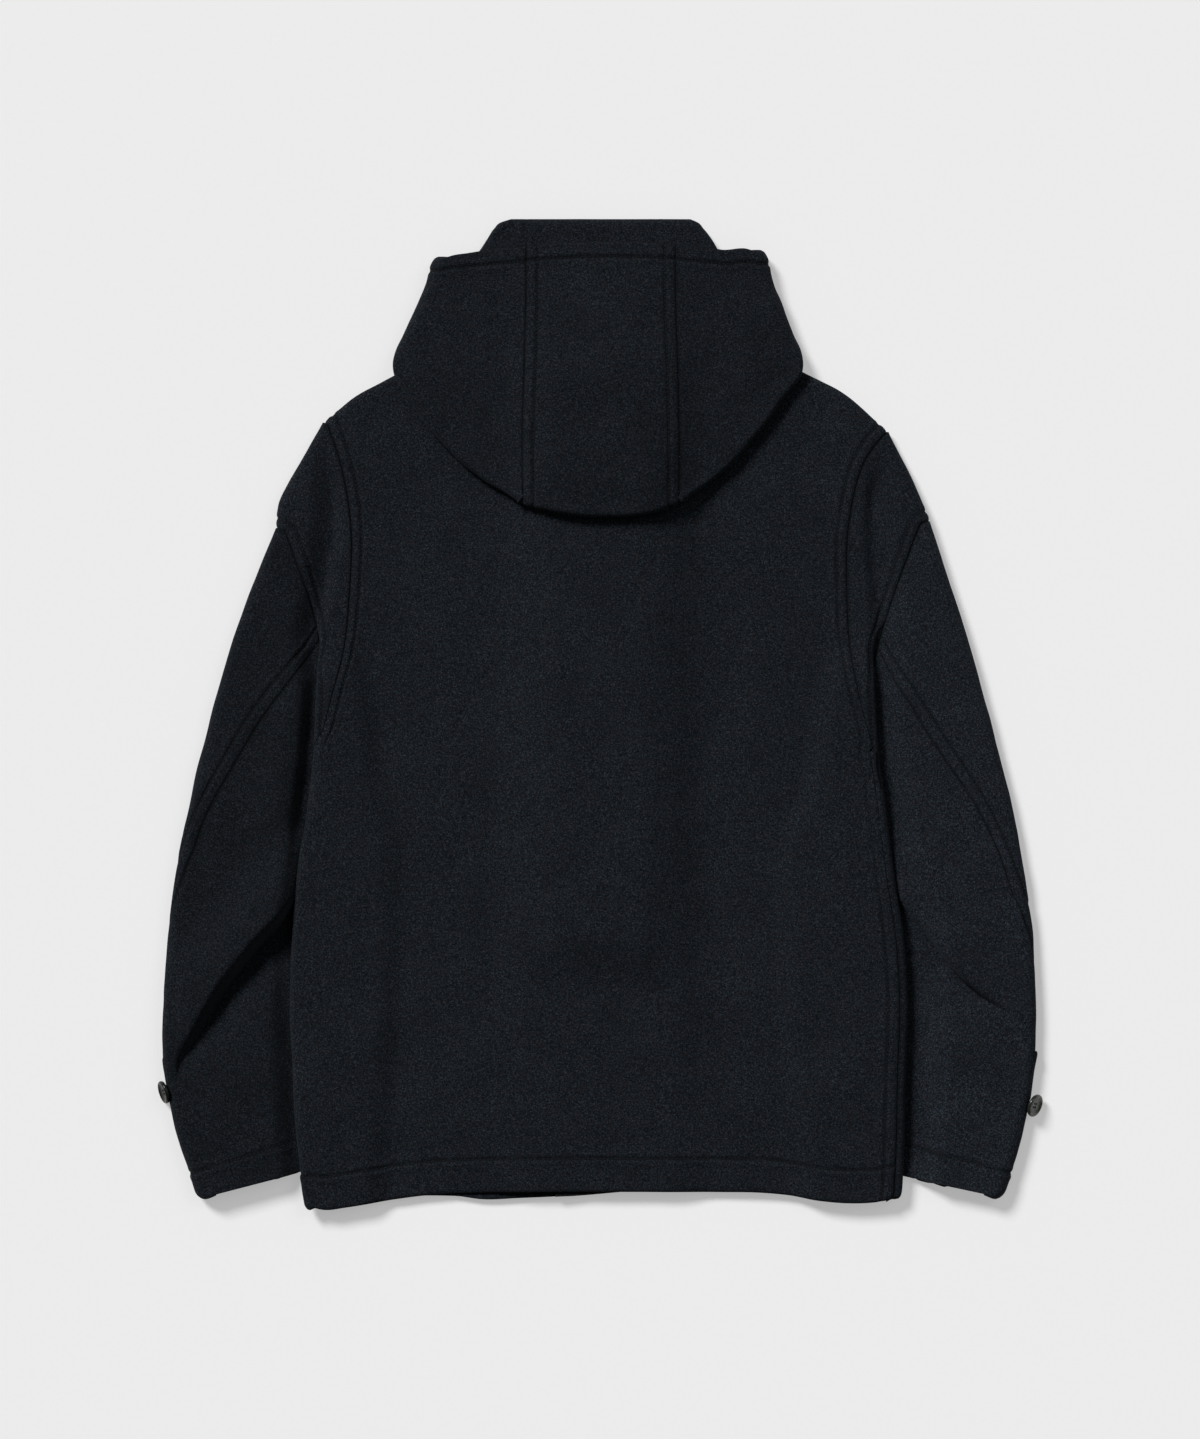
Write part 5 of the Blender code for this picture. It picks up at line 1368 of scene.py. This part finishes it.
def hood_side_middle(side):
    """A side panel's grid: its rows fan from the strip's seam over the outer fold and a little under."""
    outward = OUTWARD[side]
    knots = np.stack([column(HOOD_SIDE, side), column(HOOD_SIDE, "y")], axis=1)
    knots[0] = (HOOD_SIDE_ENDS[side], HOOD_SIDE_END_Y)
    lengths = lengths_along(knots)
    at = spread_over((0, 120), (lengths[-1] - 18.0, 26), (lengths[-1], 1))
    edge = np.stack([curve(lengths, knots[:, 0], at), curve(lengths, knots[:, 1], at)], axis=1)
    run = np.gradient(edge, axis=0)
    out = np.stack([run[:, 1], -run[:, 0]], axis=1) * outward
    out /= np.linalg.norm(out, axis=1, keepdims=True)
    at_face = smooth((edge[:, 1] - 366.0) / 30.0)
    out = out * (1 - at_face)[:, None] + np.array([outward, 0.0]) * at_face[:, None]
    edge[:, 0] -= outward * 3.0 * smooth((edge[:, 1] - 396.5) / 5.0) ** 2
    fractions = spread_over((0, 4), (0.04, 50), (1.0, 1))
    turn = np.radians(np.linspace(12.0, 150.0, 13))
    rows = []
    for (edge_x, edge_y), (out_x, out_y) in zip(edge, out):
        level = edge_y + 11.0 * float(smooth((305.0 - edge_y) / 118.0))
        seam = float(track(HOOD_SEAM, "y", side, level)) + outward * SEAM / 2
        lift = smooth((edge_y - 370.0) / 30.0)
        top = float(hood_height(edge_x - out_x * 8, edge_y - out_y * 8))
        bottom = float(hood_base(edge_x - out_x * 4, edge_y - out_y * 4)) + SEAM + HALF
        radius = (top - bottom) / 2
        flat_x, flat_y = edge_x - out_x * (radius + HALF), edge_y - out_y * (radius + HALF)
        flat_x = outward * max(outward * flat_x, outward * seam + 1.0)
        x = seam + (flat_x - seam) * fractions
        y = level + (flat_y - level) * fractions
        y = y + (track(HOOD_FACE, "x", "y", x) - 401.5) * lift
        z = hood_height(x, y)
        z = z + (top - z[-1]) * fractions**3
        fold_x = x[-1] + out_x * radius * np.sin(turn)
        fold_y = y[-1] + out_y * radius * np.sin(turn)
        fold = np.stack([fold_x, fold_y, (top + bottom) / 2 + radius * np.cos(turn)], axis=1)
        rows.append(np.concatenate([np.stack([x, y, z], axis=1), fold]))
    return np.array(rows)


def hood_centre_middle():
    """The centre strip's grid, from the face edge down to the crown and round under it."""
    levels = steps_to((407.0, 0.8), (391.0, 2.4), (204.0, 1))
    across = spread_over((0, 14), (0.09, 34), (0.91, 14), (1, 1))
    rows = []
    for level in levels:
        left = float(track(HOOD_SEAM, "y", "left", level)) + SEAM / 2
        right = float(track(HOOD_SEAM, "y", "right", level)) - SEAM / 2
        x = left + (right - left) * across
        y = level + (track(HOOD_FACE, "x", "y", x) - 407.0) * smooth((level - 370.0) / 30.0)
        rows.append(np.stack([x, y, hood_height(x, y)], axis=1))
    x = rows[-1][:, 0]
    end = track(CROWN, "x", "y", x)
    top = hood_height(x, end + 8.0)
    bottom = hood_base(x, end + 4.0) + SEAM + HALF
    radius = (top - bottom) / 2
    flat_end = end + radius + HALF
    last = rows[-1]
    for share in (0.34, 0.67):
        y = last[:, 1] + (flat_end - last[:, 1]) * share
        rows.append(np.stack([x, y, last[:, 2] + (top - last[:, 2]) * smooth(share)], axis=1))
    for turn in np.radians(np.linspace(0.0, 144.0, 15)):
        z = (top + bottom) / 2 + radius * math.cos(turn)
        rows.append(np.stack([x, flat_end - radius * math.sin(turn), z], axis=1))
    return np.array(rows)


def hood_roll_middle():
    """Upper and lower grids of the hood's hidden layers."""
    across = spread_over((0, 12), (0.08, 90), (0.92, 12), (1, 1))
    first, last = HOOD_UNDER[0].y, HOOD_UNDER[-1].y
    levels = steps_to((first, 6.0), (380.0, 2.0), (432.0, 1.0), (last, 1))
    lower, upper = [], []
    for level in levels:
        left, right = (float(track(HOOD_UNDER, "y", name, level)) for name in ("left", "right"))
        x = left + (right - left) * across
        base, top = hood_base(x, level), hood_inner_top(x, level)
        inward = np.minimum(x - left, right - x)
        distance = np.minimum(inward + 1.2, min(last - level + 1.2, level - first + 2.5))
        depth = np.minimum(distance / 9.0, 1.0)
        half = (top - base) / 2 * np.sqrt(1 - (1 - depth) ** 2)
        y = np.full(x.shape, level)
        lower.append(np.stack([x, y, (base + top) / 2 - half], axis=1))
        upper.append(np.stack([x, y, (base + top) / 2 + half], axis=1))
    return np.array(lower), np.array(upper)


# The hood's melton is painted darker, as shade.
hood_wool_painted_darker = melton("hood melton painted darker as shade", 0.86)
for side in ("left", "right"):
    panel = stitched_cloth(
        f"hood_side_panel_{side}",
        hood_side_middle(side),
        (Sewn("last row", FACE_BAND, 0.3),),
        (Tuck("first column", 7.0, 3.3),),
        seed=41 if side == "left" else 42,
        borders={"first row": UNSEEN},
    )
    dress(panel, hood_wool_painted_darker, f"hood_side_{side}")
    under = ["back_panel", "hood_folded_layers"]
centre = stitched_cloth(
    "hood_centre_strip",
    hood_centre_middle(),
    (Sewn("first row", FACE_BAND, 0.3), Sewn("first column", WELT, 0.4), Sewn("last column", WELT, 0.4)),
    seed=43,
)
dress(centre, hood_wool_painted_darker, "hood_centre")

ROLL_SEAMS = (-66.0, 51.0)
lower, upper = hood_roll_middle()
x, y = upper[..., 0], upper[..., 1]
upper[..., 2] += ripple(x, y, 0.3, 44) + creased(ROLL_CREASES, x, y)
for seam_x in ROLL_SEAMS:
    near = np.exp(-(((x - seam_x) / 1.6) ** 2)) * smooth((y - 395.0) / 10.0)
    upper[..., 2] -= GROOVE_DEPTH * near
index = np.arange(x.size).reshape(x.shape)
quads, rim = quads_of(index), rim_of(index)
sides = np.stack([rim + x.size, np.roll(rim, -1) + x.size, np.roll(rim, -1), rim], axis=1)
points = np.concatenate([upper.reshape(-1, 3), lower.reshape(-1, 3)])
faces = np.concatenate([quads, quads[:, ::-1] + x.size, sides])
layers = new_piece("hood_folded_layers", points, faces.tolist())
dress(layers, hood_wool_painted_darker, "hood_turned_under")

# ---------------------------------------------------------------------------------------------
# Topstitching: short lengths of strong dark navy thread, half sunk in the wool along every sewn
# line. It holds the seams and hems down, and a few bar tacks mark the ends of the most strained ones.
# ---------------------------------------------------------------------------------------------
THREAD = 0.75
STITCH_LENGTH = 2.7
# Along a stitch: the share of its length from its middle, its height over the cloth, its thickness.
STITCH_SPINE = (
    (-0.5, -0.4, 0.5),
    (-0.32, 0.12, 1.0),
    (0.32, 0.12, 1.0),
    (0.5, -0.4, 0.5),
)
MARKS = (  # bar tacks, each on a piece between two places
    ("back_panel", (-248.0, -403.5), (-234.5, -404.2)),
    ("shoulder_cap_left", (-270.5, 128.5), (-258.0, 137.0)),
    ("hood_side_panel_right", (128.5, 409.0), (131.0, 392.0)),
)
MARK_POINTS = 6
for name, start, end in MARKS:
    cloth = np.array([corner.co for corner in bpy.data.objects[name].data.vertices]) / MM
    places = np.linspace((*start, 0.0), (*end, 0.0), MARK_POINTS)
    for place in places:
        near = np.hypot(cloth[:, 0] - place[0], cloth[:, 1] - place[1]) < 2.5
        place[2] = cloth[near, 2].max() + 0.15
    stitch_lines.append((places, np.tile((0.0, 0.0, 1.0), (MARK_POINTS, 1))))

AROUND = 5  # sides of a stitch
TURN = np.arange(AROUND) * 2 * math.pi / AROUND
shares, lifts, widths = np.array(STITCH_SPINE).T
stitch_points, stitch_faces = [], []
for places, normals in stitch_lines:
    lengths = lengths_along(places)
    for centre_at in np.arange(STITCH, lengths[-1] - STITCH, STITCH):
        at = centre_at + STITCH_LENGTH * shares
        spine = np.stack([np.interp(at, lengths, places[:, axis]) for axis in range(3)], axis=1)
        up = np.array([np.interp(centre_at, lengths, normals[:, axis]) for axis in range(3)])
        ahead = spine[-1] - spine[0]
        ahead /= max(np.linalg.norm(ahead), 1e-9)
        across = np.cross(up, ahead)
        across /= max(np.linalg.norm(across), 1e-9)
        up = np.cross(ahead, across)
        ring = (np.outer(np.cos(TURN), across) + np.outer(np.sin(TURN), up)) * THREAD / 2
        first = len(stitch_points)
        for place, lift, width in zip(spine, lifts, widths):
            stitch_points += list(place + up * lift + ring * width)
        last = len(stitch_points) - AROUND
        for start in range(first, last, AROUND):
            for a, b in zip(range(AROUND), (*range(1, AROUND), 0)):
                stitch_faces.append((start + a, start + b, start + b + AROUND, start + a + AROUND))
        stitch_faces.append(list(range(first + AROUND - 1, first - 1, -1)))
        stitch_faces.append(list(range(last, last + AROUND)))
stitches = new_piece("topstitching", np.array(stitch_points), stitch_faces)
thread = Finish("dark navy thread")
thread.feed(Base_Color=(0.0022, 0.0032, 0.0048, 1.0), Roughness=0.7, Specular_IOR_Level=0.2)
dress(stitches, thread.material, None)

# ---------------------------------------------------------------------------------------------
# Floor, light and camera: a plain pale light table, which glows a little so that shadows stay thin,
# soft studio light from the upper left, and a long lens straight above the coat.
# ---------------------------------------------------------------------------------------------
VIEW_WIDTH = 1.08
VIEW_CENTRE_Y = -0.00585
CAMERA_HEIGHT = 5.0
SENSOR = 36.0
FLOOR_SIZE = 8.0
FLOOR_GLOW = 0.368
ROOM_LIGHT = 0.16

bpy.ops.object.select_all(action="DESELECT")
bpy.ops.mesh.primitive_plane_add(size=FLOOR_SIZE, location=(0, 0, 0))
floor = bpy.context.object
floor.name = "floor"
glowing_paper = Finish("pale paper with painted glow")
pulp = glowing_paper.noise(Scale=240.0, Detail=3.0)
shade = glowing_paper.ramp(pulp, (0.3, (0.436, 0.436, 0.436)), (0.7, (0.444, 0.444, 0.444)))
# The floor's glow is painted light: it lifts the shadows on it.
glowing_paper.feed(Base_Color=shade, Roughness=0.9, Emission_Strength=FLOOR_GLOW)
floor.data.materials.append(glowing_paper.material)

# Each light's strength, softness, height and direction, the last three in degrees.
LIGHTS = {"window": (4.10, 17.0, 38.0, 129.0), "reflector": (0.34, 30.0, 45.0, 40.0)}
for name, (strength, softness, low, across) in LIGHTS.items():
    sun = bpy.data.lights.new(name, "SUN")
    sun.energy = strength
    sun.angle = math.radians(softness)
    low, across = math.radians(low), math.radians(across)
    toward = Vector((math.cos(low) * math.cos(across), math.cos(low) * math.sin(across), math.sin(low)))
    lamp = bpy.data.objects.new(name, sun)
    lamp.rotation_euler = (-toward).to_track_quat("-Z", "Y").to_euler()
    bpy.context.scene.collection.objects.link(lamp)
world = bpy.data.worlds.new("room")
world.use_nodes = True
world.node_tree.nodes["Background"].inputs["Color"].default_value = (1, 1, 1, 1)
world.node_tree.nodes["Background"].inputs["Strength"].default_value = ROOM_LIGHT
bpy.context.scene.world = world
bpy.context.scene.view_settings.view_transform = "Standard"

lens = bpy.data.cameras.new("camera")
lens.sensor_fit = "HORIZONTAL"
lens.sensor_width = SENSOR
lens.lens = SENSOR * CAMERA_HEIGHT / VIEW_WIDTH
camera = bpy.data.objects.new("camera", lens)
camera.location = (0, VIEW_CENTRE_Y, CAMERA_HEIGHT)
bpy.context.scene.collection.objects.link(camera)
bpy.context.scene.camera = camera
